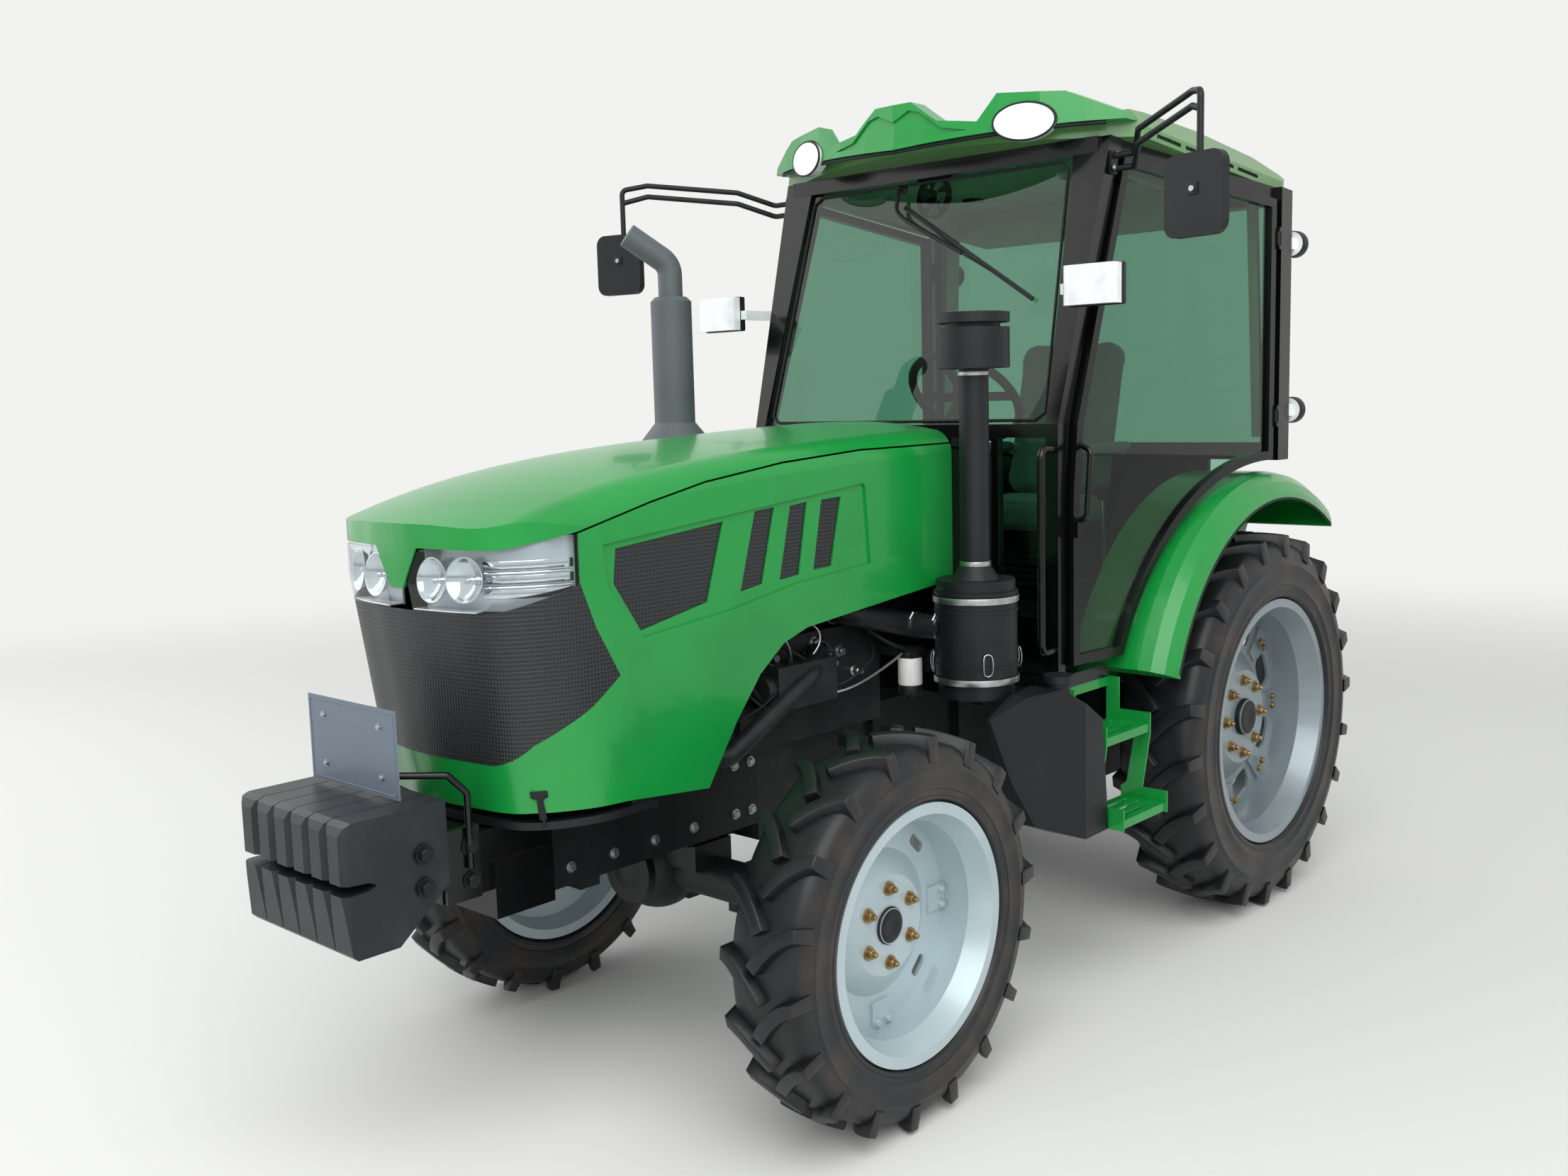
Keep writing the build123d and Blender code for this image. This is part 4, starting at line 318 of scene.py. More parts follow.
@dataclass(frozen=True)
class TyreRubber:
    """Vulcanised natural rubber: satin black on the tread, with brown road dust rubbed into the walls."""

    name: str = "tyre_rubber"
    colour: str = "#0b0d10"
    worn: str = "#15191d"
    dust: str = "#3a312b"
    roughness: float = 0.44
    grain: float = 5 * MILLIMETRE
    depth: float = 0.25 * MILLIMETRE

    def build(self) -> bpy.types.Material:
        """Makes the material.

        Returns:
            The material.
        """
        material, tree, place = blank_material(self.name)
        black = mottled(tree, place, (self.colour, self.worn), 0.06, (0.4, 0.8))
        brown = mottled(tree, place, (self.worn, self.dust), 0.13, (0.42, 0.72))
        facing = add_node(tree, "ShaderNodeSeparateXYZ",
                          links={"Vector": add_node(tree, "ShaderNodeTexCoord").outputs["Normal"]})
        sideways = add_node(tree, "ShaderNodeMath", {"operation": "ABSOLUTE"}, {0: facing.outputs["X"]})
        wall = add_node(tree, "ShaderNodeMapRange", {"From Min": 0.72, "From Max": 0.98},
                        {"Value": sideways.outputs["Value"]})
        mix = add_node(tree, "ShaderNodeMix", {"data_type": "RGBA"},
                       {"Factor": wall.outputs["Result"], 6: black, 7: brown})
        shader = add_node(tree, "ShaderNodeBsdfPrincipled",
                          {"Roughness": self.roughness, "IOR": 1.52, "Specular IOR Level": 0.4},
                          {"Base Color": mix.outputs[2],
                           "Normal": bumped(tree, place, Relief.GRAINS, self.grain, self.depth)})
        add_node(tree, "ShaderNodeOutputMaterial", links={"Surface": shader.outputs["BSDF"]})
        return material


@dataclass(frozen=True)
class SafetyGlass:
    """Tinted toughened glass: one thin pane takes out part of the light and keeps a clean reflection."""

    name: str = "tinted_glass"
    tint: str = "#bdd9cd"
    reflection: str = "#ffffff"

    def build(self) -> bpy.types.Material:
        """Makes the material, which reflects at its outer faces alone.

        Returns:
            The material.
        """
        material, tree, _ = blank_material(self.name)
        through = add_node(tree, "ShaderNodeBsdfTransparent", {"Color": linear(self.tint)})
        gloss = add_node(tree, "ShaderNodeBsdfGlossy", {"Color": linear(self.reflection), "Roughness": 0.0})
        edge = add_node(tree, "ShaderNodeFresnel", {"IOR": 1.45})
        inside = add_node(tree, "ShaderNodeNewGeometry").outputs["Backfacing"]
        outside = add_node(tree, "ShaderNodeMath", {"operation": "SUBTRACT", "use_clamp": True}, {1: inside})
        outside.inputs[0].default_value = 1.0
        share = add_node(tree, "ShaderNodeMath", {"operation": "MULTIPLY", "use_clamp": True},
                         {0: edge.outputs["Fac"], 1: outside.outputs["Value"]})
        mix = add_node(tree, "ShaderNodeMixShader", links={0: share.outputs["Value"], 1: through.outputs["BSDF"],
                                                           2: gloss.outputs["BSDF"]})
        add_node(tree, "ShaderNodeOutputMaterial", links={"Surface": mix.outputs["Shader"]})
        return material


@dataclass(frozen=True)
class WireMesh:
    """Black coated woven wire: square holes, drawn at 10 mm instead of 3 mm so that they show; the holes are closed and
    coloured near black, a painted shade for the dark space behind.
    """

    name: str = "grille_mesh"
    wire: str = "#24272b"
    # Painted shade: the holes are not open but coloured near black, for the dark space behind the mesh
    hole: str = "#050607"
    pitch: float = 10 * MILLIMETRE
    depth: float = 1.0 * MILLIMETRE

    def build(self) -> bpy.types.Material:
        """Makes the material, on a sheet that follows the nose round its corners.

        Returns:
            The material.
        """
        material, tree, place = blank_material(self.name)
        parts = add_node(tree, "ShaderNodeSeparateXYZ", links={"Vector": place}).outputs
        out = add_node(tree, "ShaderNodeMath", {"operation": "ABSOLUTE"}, {0: parts["X"]})
        round_nose = add_node(tree, "ShaderNodeMath", {"operation": "ADD"}, {0: out.outputs["Value"], 1: parts["Y"]})
        sheet = add_node(tree, "ShaderNodeCombineXYZ", links={"X": round_nose.outputs["Value"], "Z": parts["Z"]})
        upright, level = (add_node(tree, "ShaderNodeTexWave",
                                   {"Scale": math.tau / (20 * self.pitch), "bands_direction": axis},
                                   {"Vector": sheet.outputs["Vector"]}).outputs["Fac"] for axis in ("X", "Z"))
        height = add_node(tree, "ShaderNodeMath", {"operation": "MAXIMUM"}, {0: upright, 1: level}).outputs["Value"]
        # The weave's low parts are the holes, which get the painted shade
        ramp = add_node(tree, "ShaderNodeValToRGB", links={"Fac": height})
        for stop, position, colour in zip(ramp.color_ramp.elements, (0.55, 0.8), (self.hole, self.wire)):
            stop.position = position
            stop.color = linear(colour)
        bump = add_node(tree, "ShaderNodeBump", {"Distance": self.depth, "Strength": 1.0}, {"Height": height})
        shader = add_node(tree, "ShaderNodeBsdfPrincipled", {"Roughness": 0.42, "IOR": 1.5},
                          {"Base Color": ramp.outputs["Color"], "Normal": bump.outputs["Normal"]})
        add_node(tree, "ShaderNodeOutputMaterial", links={"Surface": shader.outputs["BSDF"]})
        return material


@dataclass(frozen=True)
class SeatCloth:
    """Woven polyester seat cover: a plain weave, drawn at 4 mm instead of 1 mm so that it shows."""

    name: str = "seat_cloth"
    colour: str = "#6f7f80"
    thread: str = "#4d5b5d"
    pitch: float = 4 * MILLIMETRE
    depth: float = 0.5 * MILLIMETRE

    def build(self) -> bpy.types.Material:
        """Makes the material.

        Returns:
            The material.
        """
        material, tree, place = blank_material(self.name)
        weave = add_node(tree, "ShaderNodeTexChecker",
                         {"Scale": 1 / self.pitch, "Color1": linear(self.colour), "Color2": linear(self.thread)},
                         {"Vector": place})
        bump = add_node(tree, "ShaderNodeBump", {"Distance": self.depth, "Strength": 1.0},
                        {"Height": weave.outputs["Fac"]})
        shader = add_node(tree, "ShaderNodeBsdfPrincipled",
                          {"Roughness": 0.85, "Sheen Weight": 0.3, "Sheen Roughness": 0.5},
                          {"Base Color": weave.outputs["Color"], "Normal": bump.outputs["Normal"]})
        add_node(tree, "ShaderNodeOutputMaterial", links={"Surface": shader.outputs["BSDF"]})
        return material


class Finish(Enum):
    """Every finish on the tractor, each with what it gives the eye."""

    # Gloss sprayed enamel: an even deep green with soft highlights along the bonnet
    GREEN = Enamel("green_enamel", "#148f3c", "#127c35")
    # The roof's enamel, sun-bleached: paler and duller, with dusty patches
    ROOF_GREEN = Enamel("roof_enamel", "#5b8a52", "#6d8a58", roughness=0.4)
    # Gloss black enamel on tube and sheet: near black, with thin sharp highlights
    BLACK = Enamel("black_enamel", "#08090a", "#101011", roughness=0.2, coat=0.15, specular=0.3)
    # Metallic wheel enamel: pale and silvery, with broad soft highlights
    WHEEL_SILVER = Enamel("wheel_enamel", "#b3c3c8", "#9fb0b5", roughness=0.35, metallic=0.25)
    # The rear wheels' enamel: a darker, greyer silver than the front wheels'
    REAR_WHEEL_SILVER = Enamel("rear_wheel_enamel", "#8f9ba0", "#7f8583", roughness=0.38, metallic=0.4)
    # Enamelled steel sheet: a flat blue-grey with little shine
    PLATE_GREY = Enamel("plate_enamel", "#657280", "#6b7682", roughness=0.4, coat=0.2)
    # Heat-proof paint without a gloss coat: dull grey with brownish patches
    EXHAUST_GREY = Enamel("exhaust_enamel", "#565c60", "#4a4a49", roughness=0.5, coat=0.0)
    # Painted iron casting: sandy black that breaks up its highlights
    CAST_BLACK = Casting("black_casting", "#0c0e10", "#1a1d1f")
    # The weights' casting paint: a shade lighter and smoother, dark slate
    WEIGHT_GREY = Casting("weight_casting", "#1b2024", "#2a3136", roughness=0.42)
    # The engine block's paint: rough dark grey with an oily unevenness
    ENGINE_GREY = Casting("engine_casting", "#15191b", "#2b2f2e")
    # Moulded polypropylene: half-matt black with a fine leather grain
    BLACK_PLASTIC = Moulding("black_polypropylene", "#131518", "#1b1e21")
    # Moulded roof liner: matt pale beige that lights the cab from above
    BEIGE_LINER = Moulding("beige_liner", "#b9b8a2", "#aeb09c", roughness=0.7)
    TYRE = TyreRubber()
    GLASS = SafetyGlass()
    # Ribbed clear polycarbonate, drawn opaque: a bright white that is a painted reflection of the reflector behind,
    # with small broken glints
    LENS = LampLens("lamp_lens", "#f2f4f5", "#dde2e5")
    # Black wire whose holes are filled with painted shade
    GRILLE = WireMesh()
    # Bright zinc-plated steel: light grey with soft reflections
    STEEL = Metal("bright_steel", "#b8babc", "#8f8f8c")
    # Yellow-passivated zinc: the wheel nuts' dull gold
    BRASS = Metal("zinc_nut", "#a98f63", "#7c6a4c", roughness=0.4)
    SEAT = SeatCloth()
    # Moulded natural rubber: matt black, finer grained than the plastic
    RUBBER = Moulding("black_rubber", "#121314", "#1d1d1c", roughness=0.6, grain=2 * MILLIMETRE)
    # Vacuum-plated chrome: the lamp bowls' near-mirror shine
    CHROME = Metal("lamp_chrome", "#e6e8ea", "#c9cdd0", roughness=0.12, patch=0.05)
    # Silvered glass: a clean mirror image
    MIRROR = Metal("silvered_glass", "#dfe3e6", "#d4d9dd", roughness=0.03, patch=0.2)
    # Silver lacquer inside the lamps: bright behind the lens, but not a mirror
    LAMP_SILVER = Enamel("lamp_housing_silver", "#d5dade", "#c3c9ce", roughness=0.25, metallic=0.35)
    # Gloss white enamel: the filter can, the one white thing under the bonnet
    WHITE = Enamel("white_enamel", "#e6e6e2", "#d8d6cf", roughness=0.35)
    # Clear polycarbonate cover: hardly tinted, with the sky's reflection on it
    CLEAR = SafetyGlass("clear_lens", "#f4f7f8")


NODES_BY_FINISH: dict[Finish, str] = {
    Finish.GREEN: "hood side_panels nose_surround fenders steps roof_visor",
    Finish.ROOF_GREEN: "cab_roof",
    Finish.WEIGHT_GREY: "front_weights",
    Finish.CAST_BLACK: "front_bolster front_axle transmission knuckle_left knuckle_right drawbar top_bracket",
    Finish.BLACK: "weight_carrier lower_links lift_arms lift_rods cab_frame door_frame_left door_frame_right handrails"
                  " bulkhead",
    Finish.BLACK_PLASTIC: "cab_floor air_cleaner battery_box fuel_tank console mirrors",
    Finish.STEEL: "tie_rod",
    Finish.ENGINE_GREY: "engine radiator",
    Finish.EXHAUST_GREY: "exhaust",
    Finish.GRILLE: "grille",
    Finish.CLEAR: "headlamps",
    Finish.LENS: "lamps",
    Finish.WHEEL_SILVER: "front_rim_left front_rim_right",
    Finish.REAR_WHEEL_SILVER: "rear_rim_left rear_rim_right",
    Finish.TYRE: "front_tyre_left front_tyre_right rear_tyre_left rear_tyre_right",
    Finish.GLASS: "cab_glass door_glass_left door_glass_right",
    Finish.PLATE_GREY: "number_plate",
    Finish.SEAT: "seat",
}


@dataclass
class Paintshop:
    """Builds each finish once and puts it on pieces and nodes."""

    made: dict[Finish, bpy.types.Material] = field(default_factory=dict)

    def material(self, finish: Finish) -> bpy.types.Material:
        """Gives a finish's material, made on first use.

        Args:
            finish: The finish.

        Returns:
            Its material.
        """
        if finish not in self.made:
            self.made[finish] = finish.value.build()
        return self.made[finish]

    def coat(self, piece: Piece, finish: Finish) -> None:
        """Gives a piece one finish all over."""
        piece.data.materials.clear()
        piece.data.materials.append(self.material(finish))

    def coat_nodes(self, nodes: dict[str, Piece]) -> None:
        """Gives every CAD node its finish.

        Args:
            nodes: The frame's nodes by name.
        """
        for finish, names in NODES_BY_FINISH.items():
            for name in names.split():
                for slot in nodes[name].material_slots:
                    slot.material = self.material(finish)
                LOG.info("dressed %s in %s", name, finish.name.lower())


@dataclass
class Assembly:
    """A group of pieces that are made together and dressed by the paintshop."""

    shop: Paintshop

    def fit(self, piece: Piece, finish: Finish, body: str = "chassis") -> Piece:
        """Coats a piece and makes it ride on a body.

        Args:
            piece: The piece's object.
            finish: Its finish.
            body: The CAD body that it moves with.

        Returns:
            The same piece.
        """
        self.shop.coat(piece, finish)
        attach(piece, body)
        LOG.info("fitted %s to %s", piece.name, body)
        return piece


def at(x: float, y: float, z: float) -> Vector:
    """Turns a place on the drawing to the frame.

    Args:
        x: Millimetres to the tractor's left.
        y: Millimetres behind the front axle.
        z: Millimetres above the ground.

    Returns:
        The place in metres.
    """
    return Vector((x * MILLIMETRE, y * MILLIMETRE - DRAWING_ORIGIN_Y, z * MILLIMETRE))


def pick_up(piece: Piece) -> None:
    """Selects one piece alone and makes it the active one.

    Args:
        piece: The piece.
    """
    bpy.ops.object.select_all(action="DESELECT")
    piece.select_set(True)
    bpy.context.view_layer.objects.active = piece


def put_down(piece: Piece, name: str) -> Piece:
    """Names a piece and moves its place, turn and scale into its mesh.

    Args:
        piece: The piece.
        name: Its name.

    Returns:
        The same piece.
    """
    piece.name = name
    piece.data.name = name
    pick_up(piece)
    bpy.ops.object.transform_apply(location=True, rotation=True, scale=True)
    return piece


def recalculated(piece: Piece) -> Piece:
    """Merges a piece's doubled points and turns its faces outward.

    Args:
        piece: The piece.

    Returns:
        The same piece.
    """
    pick_up(piece)
    bpy.ops.object.mode_set(mode="EDIT")
    bpy.ops.mesh.select_all(action="SELECT")
    bpy.ops.mesh.remove_doubles(threshold=MERGE_DISTANCE)
    bpy.ops.mesh.normals_make_consistent(inside=False)
    bpy.ops.object.mode_set(mode="OBJECT")
    return piece


def softened(piece: Piece, width: float, segments: int = 2, angle: float = 35.0) -> Piece:
    """Rounds a piece's sharp edges and shades it.

    Args:
        piece: The piece.
        width: The rounding's width in millimetres, or 0 for shading alone.
        segments: How many strips the rounding has.
        angle: The sharpest turn in degrees that is left as it is.

    Returns:
        The same piece.
    """
    pick_up(piece)
    if width:
        bevel = piece.modifiers.new("rounding", "BEVEL")
        bevel.width = width * MILLIMETRE
        bevel.segments = segments
        bevel.limit_method = "ANGLE"
        bevel.angle_limit = math.radians(angle)
        bevel.use_clamp_overlap = True
        bpy.ops.object.modifier_apply(modifier="rounding")
    bpy.ops.object.shade_smooth_by_angle(angle=math.radians(angle))
    return piece


def bar(name: str, low: Vector, high: Vector, rounding: float = 1.0) -> Piece:
    """Makes a square-cut bar between two corners, its edges rounded.

    Args:
        name: The piece's name.
        low: Its lowest corner.
        high: Its highest corner.
        rounding: The rounding's width in millimetres.

    Returns:
        The piece.
    """
    bpy.ops.object.select_all(action="DESELECT")
    bpy.ops.mesh.primitive_cube_add(size=1.0, location=(low + high) / 2)
    piece = bpy.context.object
    piece.scale = high - low
    return softened(put_down(piece, name), rounding)


def chain(points: list[Vector]) -> Piece:
    """Draws a run of edges by extruding one point along a path.

    Args:
        points: The path's points.

    Returns:
        The piece, still in edit mode with its last point selected.
    """
    bpy.ops.object.select_all(action="DESELECT")
    bpy.ops.mesh.primitive_plane_add(size=0.001, location=points[0])
    piece = bpy.context.object
    bpy.ops.object.transform_apply(location=True, rotation=True, scale=True)
    bpy.ops.object.mode_set(mode="EDIT")
    bpy.ops.mesh.select_all(action="SELECT")
    bpy.ops.mesh.merge(type="CENTER")
    for before, after in zip(points, points[1:]):
        bpy.ops.mesh.extrude_region_move(TRANSFORM_OT_translate={"value": after - before})
    return piece


def lathed(name: str, axis: Vector, centre: Vector, profile: list[Flat], steps: int = 48,
           rounding: float = 0.0, closed: bool = False) -> Piece:
    """Turns a profile round an axis.

    Args:
        name: The piece's name.
        axis: The axis's direction.
        centre: A point on the axis.
        profile: (distance along the axis, radius) points in millimetres.
        steps: How many strips the turned body has.
        rounding: The edge rounding's width in millimetres.
        closed: Whether the profile's last point joins its first.

    Returns:
        The piece.
    """
    axis = axis.normalized()
    side = axis.orthogonal().normalized()
    loop = profile + profile[:1] if closed else profile
    piece = chain([centre + axis * (along * MILLIMETRE) + side * (max(radius, 0.0) * MILLIMETRE)
                   for along, radius in loop])
    bpy.ops.mesh.select_all(action="SELECT")
    bpy.ops.mesh.spin(steps=steps, angle=math.tau, center=centre, axis=axis, use_auto_merge=False)
    bpy.ops.object.mode_set(mode="OBJECT")
    recalculated(put_down(piece, name))
    return softened(piece, rounding)


def plate(name: str, outline: list[Vector], through: Vector, rounding: float = 0.8) -> Piece:
    """Fills a closed outline and extrudes it.

    Args:
        name: The piece's name.
        outline: The outline's points in order.
        through: How far and which way it is extruded.
        rounding: The edge rounding's width in millimetres.

    Returns:
        The piece.
    """
    piece = chain(outline)
    bpy.ops.mesh.select_all(action="SELECT")
    bpy.ops.mesh.edge_face_add()
    bpy.ops.mesh.extrude_region_move(TRANSFORM_OT_translate={"value": through})
    bpy.ops.object.mode_set(mode="OBJECT")
    recalculated(put_down(piece, name))
    return softened(piece, rounding)


def tube(name: str, path: list[Vector], radius: float, order: int = 3, rings: int = 6,
         cyclic: bool = False) -> Piece:
    """Bends a round tube along a smooth line.

    Args:
        name: The piece's name.
        path: The line's control points.
        radius: The tube's radius in millimetres.
        order: 2 for straight runs, more for smoother bends.
        rings: How many rings each run has.
        cyclic: Whether the tube closes on itself.

    Returns:
        The piece.
    """
    bpy.ops.object.select_all(action="DESELECT")
    curve = bpy.data.curves.new(name, "CURVE")
    curve.dimensions = "3D"
    curve.bevel_depth = radius * MILLIMETRE
    curve.bevel_resolution = 3
    curve.resolution_u = rings
    curve.use_fill_caps = not cyclic
    spline = curve.splines.new("NURBS")
    spline.points.add(len(path) - 1)
    for point, place in zip(spline.points, path):
        point.co = (*place, 1.0)
    spline.order_u = order
    spline.use_endpoint_u = not cyclic
    spline.use_cyclic_u = cyclic
    piece = bpy.data.objects.new(name, curve)
    bpy.context.scene.collection.objects.link(piece)
    pick_up(piece)
    bpy.ops.object.convert(target="MESH")
    piece = bpy.context.object
    recalculated(put_down(piece, name))
    return softened(piece, 0)


def hexagon_head(name: str, centre: Vector, axis: Vector, width: float, height: float) -> Piece:
    """Makes a bolt's head on its washer, standing out along an axis.

    Args:
        name: The piece's name.
        centre: The middle of the washer's back.
        axis: The way that the head stands out.
        width: The head's width over its corners in millimetres.
        height: The head's height in millimetres.

    Returns:
        The piece.
    """
    turn = axis.to_track_quat("Z", "Y").to_euler()
    bpy.ops.object.select_all(action="DESELECT")
    bpy.ops.mesh.primitive_cylinder_add(vertices=20, radius=width * 0.68 * MILLIMETRE, depth=height * 0.3 * MILLIMETRE,
                                        location=centre + axis.normalized() * (height * 0.15 * MILLIMETRE),
                                        rotation=turn)
    washer = put_down(bpy.context.object, name + "_washer")
    bpy.ops.object.select_all(action="DESELECT")
    bpy.ops.mesh.primitive_cylinder_add(vertices=6, radius=width / 2 * MILLIMETRE, depth=height * MILLIMETRE,
                                        location=centre + axis.normalized() * (height * 0.5 * MILLIMETRE),
                                        rotation=turn)
    head = put_down(bpy.context.object, name)
    head = softened(head, min(height, width) * 0.08, 1)
    return joined(name, [head, washer])


def joined(name: str, pieces: list[Piece]) -> Piece:
    """Joins pieces into one.

    Args:
        name: The joined piece's name.
        pieces: The pieces, the first of which stays.

    Returns:
        The joined piece.
    """
    bpy.ops.object.select_all(action="DESELECT")
    for piece in pieces:
        piece.select_set(True)
    bpy.context.view_layer.objects.active = pieces[0]
    if len(pieces) > 1:
        bpy.ops.object.join()
    pieces[0].name = name
    pieces[0].data.name = name
    return pieces[0]


def copied(piece: Piece, name: str, move: Matrix) -> Piece:
    """Copies a piece with its own mesh and moves the copy.

    Args:
        piece: The piece to copy.
        name: The copy's name.
        move: The movement, which may mirror.

    Returns:
        The copy.
    """
    twin = piece.copy()
    twin.data = piece.data.copy()
    twin.name = name
    twin.data.name = name
    bpy.context.scene.collection.objects.link(twin)
    twin.data.transform(move)
    if move.determinant() < 0:
        twin.data.flip_normals()
    return twin


def ringed(name: str, piece: Piece, centre: Vector, axis: Vector, count: int) -> Piece:
    """Repeats a piece round an axis and joins the copies to it.

    Args:
        name: The joined piece's name.
        piece: The piece to repeat.
        centre: A point on the axis.
        axis: The axis's direction.
        count: How many there are in all.

    Returns:
        The joined piece.
    """
    pieces = [piece]
    for index in range(1, count):
        turn = (Matrix.Translation(centre) @ Matrix.Rotation(math.tau * index / count, 4, axis)
                @ Matrix.Translation(-centre))
        pieces.append(copied(piece, f"{name}_{index}", turn))
    return joined(name, pieces)


@dataclass
class Tyre(Assembly):
    """One lugged tyre: a turned carcass with ribbed walls, and two rows of curved lugs moulded on to it."""

    name: str
    body: str
    side: Side
    axle_x: float
    axle_y: float
    radius: float
    width: float
    seat_radius: float
    bead_x: float
    flange_radius: float
    lugs: int
    lug_height: float = 30.0
    lug_sweep: float = 104.0
    lug_top: float = 32.0
    lug_foot: float = 46.0
    lug_curve: float = 1.7
    steps: int = 120

    def build(self) -> None:
        """Makes the tyre in place of its CAD node."""
        tyre = self.fit(joined(self.name, [self._carcass(), self._row(1), self._row(-1)]), Finish.TYRE, self.body)
        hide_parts(self.body.replace("wheel", "tyre"))

    def _centre(self) -> Vector:
        """Gives the middle of the wheel in the frame."""
        return at(self.side.value * self.axle_x, self.axle_y, self.radius)

    def _wall(self) -> list[Flat]:
        """Draws one side of the carcass, from the tread's middle to the bead.

        Returns:
            (distance from the middle, radius) points.
        """
        half = self.width / 2
        tread = self.radius - self.lug_height
        wall = tread - self.flange_radius
        # (share of the half width, share of the wall's height), each step being a rib or a rim guard
        shares = [(0.0, 1.03), (0.42, 1.02), (0.66, 1.0), (0.79, 0.955), (0.875, 0.885), (0.93, 0.8),
                  (0.965, 0.7), (0.985, 0.62), (1.0, 0.605), (1.0, 0.575), (0.988, 0.56), (0.99, 0.42),
                  (0.975, 0.3), (0.985, 0.285), (0.985, 0.25), (0.965, 0.235), (0.94, 0.13), (0.955, 0.115),
                  (0.955, 0.075), (0.925, 0.05)]
        return ([(half * out, self.flange_radius + wall * up) for out, up in shares]
                + [(self.bead_x, self.flange_radius + 1.5), (self.bead_x - 0.5, self.seat_radius + 0.5)])

    def _carcass(self) -> Piece:
        """Turns the carcass.

        Returns:
            The carcass.
        """
        wall = self._wall()
        outline = wall + [(-out, up) for out, up in reversed(wall[1:])]
        return lathed(self.name, LEFT, self._centre(), outline, self.steps, closed=True)

    def _row(self, hand: int) -> Piece:
        """Makes one row of lugs.

        Args:
            hand: 1 for the row towards +X and -1 for the other.

        Returns:
            The row as one mesh.
        """
        bpy.ops.object.select_all(action="DESELECT")
        bpy.ops.mesh.primitive_grid_add(x_subdivisions=12, y_subdivisions=1, size=1.0)
        lug = bpy.context.object
        bpy.ops.object.mode_set(mode="EDIT")
        bpy.ops.mesh.select_all(action="SELECT")
        bpy.ops.mesh.extrude_region_move(TRANSFORM_OT_translate={"value": (0.0, 0.0, 1.0)})
        bpy.ops.object.mode_set(mode="OBJECT")
        bend = 0.0 if hand > 0 else math.pi / self.lugs
        for point in lug.data.vertices:
            point.co = self._wrapped(point.co.x + 0.5, point.co.y, point.co.z, hand, bend)
        recalculated(put_down(lug, f"{self.name}_lug_{hand}"))
        softened(lug, 3.0, 2, 40.0)
        return ringed(f"{self.name}_row_{hand}", lug, self._centre(), LEFT, self.lugs)

    def _wrapped(self, along: float, across: float, up: float, hand: int, bend: float) -> Vector:
        """Wraps a point of the straight lug round the tread.

        Args:
            along: 0 at the tread's middle and 1 at the shoulder.
            across: -0.5 to 0.5 over the lug's thickness.
            up: 0 at the lug's foot and 1 at its crest.
            hand: The row's side.
            bend: The row's turn round the axle.

        Returns:
            The place in the frame.
        """
        half = self.width / 2
        out = half * (-0.06 + 1.02 * along)
        back = self.lug_sweep * (0.5 - (1.0 - along) ** self.lug_curve)
        slope_out = half * 1.02
        slope_back = self.lug_sweep * self.lug_curve * (1.0 - along) ** (self.lug_curve - 1.0)
        length = math.hypot(slope_out, slope_back)
        thick = across * (self.lug_foot + (self.lug_top - self.lug_foot) * up)
        out -= thick * slope_back / length
        back += thick * slope_out / length
        crest = self.radius - 9.0 * (out / half) ** 2
        shoulder = max(0.0, along - 0.62) / 0.38
        foot = self.radius - self.lug_height - 8.0 - 0.3 * half * shoulder ** 1.6
        if along > 0.98:
            out += half * (0.03 - 0.055 * up)
        radius = foot + (crest - foot) * up
        turn = back / self.radius + bend
        centre = self._centre()
        place = Vector((hand * out, radius * math.sin(turn), radius * math.cos(turn)))
        return centre + place * MILLIMETRE


@dataclass
class WheelFittings(Assembly):
    """A wheel's nuts on their studs, its hub cap and the bolts of the brackets on its rim."""

    body: str
    side: Side
    face_x: float
    axle_y: float
    axle_z: float
    nuts: int
    nut_circle: float
    nut_width: float
    cap_radius: float
    cap_reach: float
    brackets: int
    bracket_half: float
    bracket_circle: float
    bracket_x: float
    bolt_finish: Finish = Finish.BRASS

    def build(self) -> None:
        """Makes the nuts, the cap and the bracket bolts and hangs them on the wheel."""
        hand = self.side.value
        out = self.side.out
        centre = at(hand * self.face_x, self.axle_y, self.axle_z)
        place = centre + Vector((0.0, 0.0, self.nut_circle * MILLIMETRE))
        nut = hexagon_head(f"{self.body}_nut", place, out, self.nut_width, self.nut_width * 0.62)
        stud = lathed(f"{self.body}_stud", out, place,
                      [(0.0, 0.0), (0.0, self.nut_width * 0.27), (self.nut_width * 0.95, self.nut_width * 0.27),
                       (self.nut_width * 1.05, self.nut_width * 0.2), (self.nut_width * 1.05, 0.0)], 16)
        nuts = ringed(f"{self.body}_nuts", joined(f"{self.body}_nut", [nut, stud]), centre, out, self.nuts)
        self.fit(nuts, Finish.BRASS, self.body)
        radius = self.cap_radius
        reach = self.cap_reach
        cap = lathed(f"{self.body}_hub_cap", out, centre,
                     [(0.5, 0.0), (0.5, radius + 3.0), (reach * 0.55, radius + 3.0), (reach + 1.0, radius - 3.0),
                      (reach + 3.0, radius - 12.0), (reach + 3.0, radius * 0.42), (reach + 1.6, radius * 0.36),
                      (reach + 1.6, 0.0)], 48, 0.6)
        self.fit(cap, Finish.BLACK_PLASTIC, self.body)
        place = at(hand * self.bracket_x, self.axle_y, self.axle_z)
        pair = [hexagon_head(f"{self.body}_bolt",
                             place + Vector((0.0, y * MILLIMETRE, self.bracket_circle * MILLIMETRE)), out, 20.0, 11.0)
                for y in (-self.bracket_half, self.bracket_half)]
        bolts = ringed(f"{self.body}_bracket_bolts", joined(f"{self.body}_bolts", pair), place, out, self.brackets)
        self.fit(bolts, self.bolt_finish, self.body)


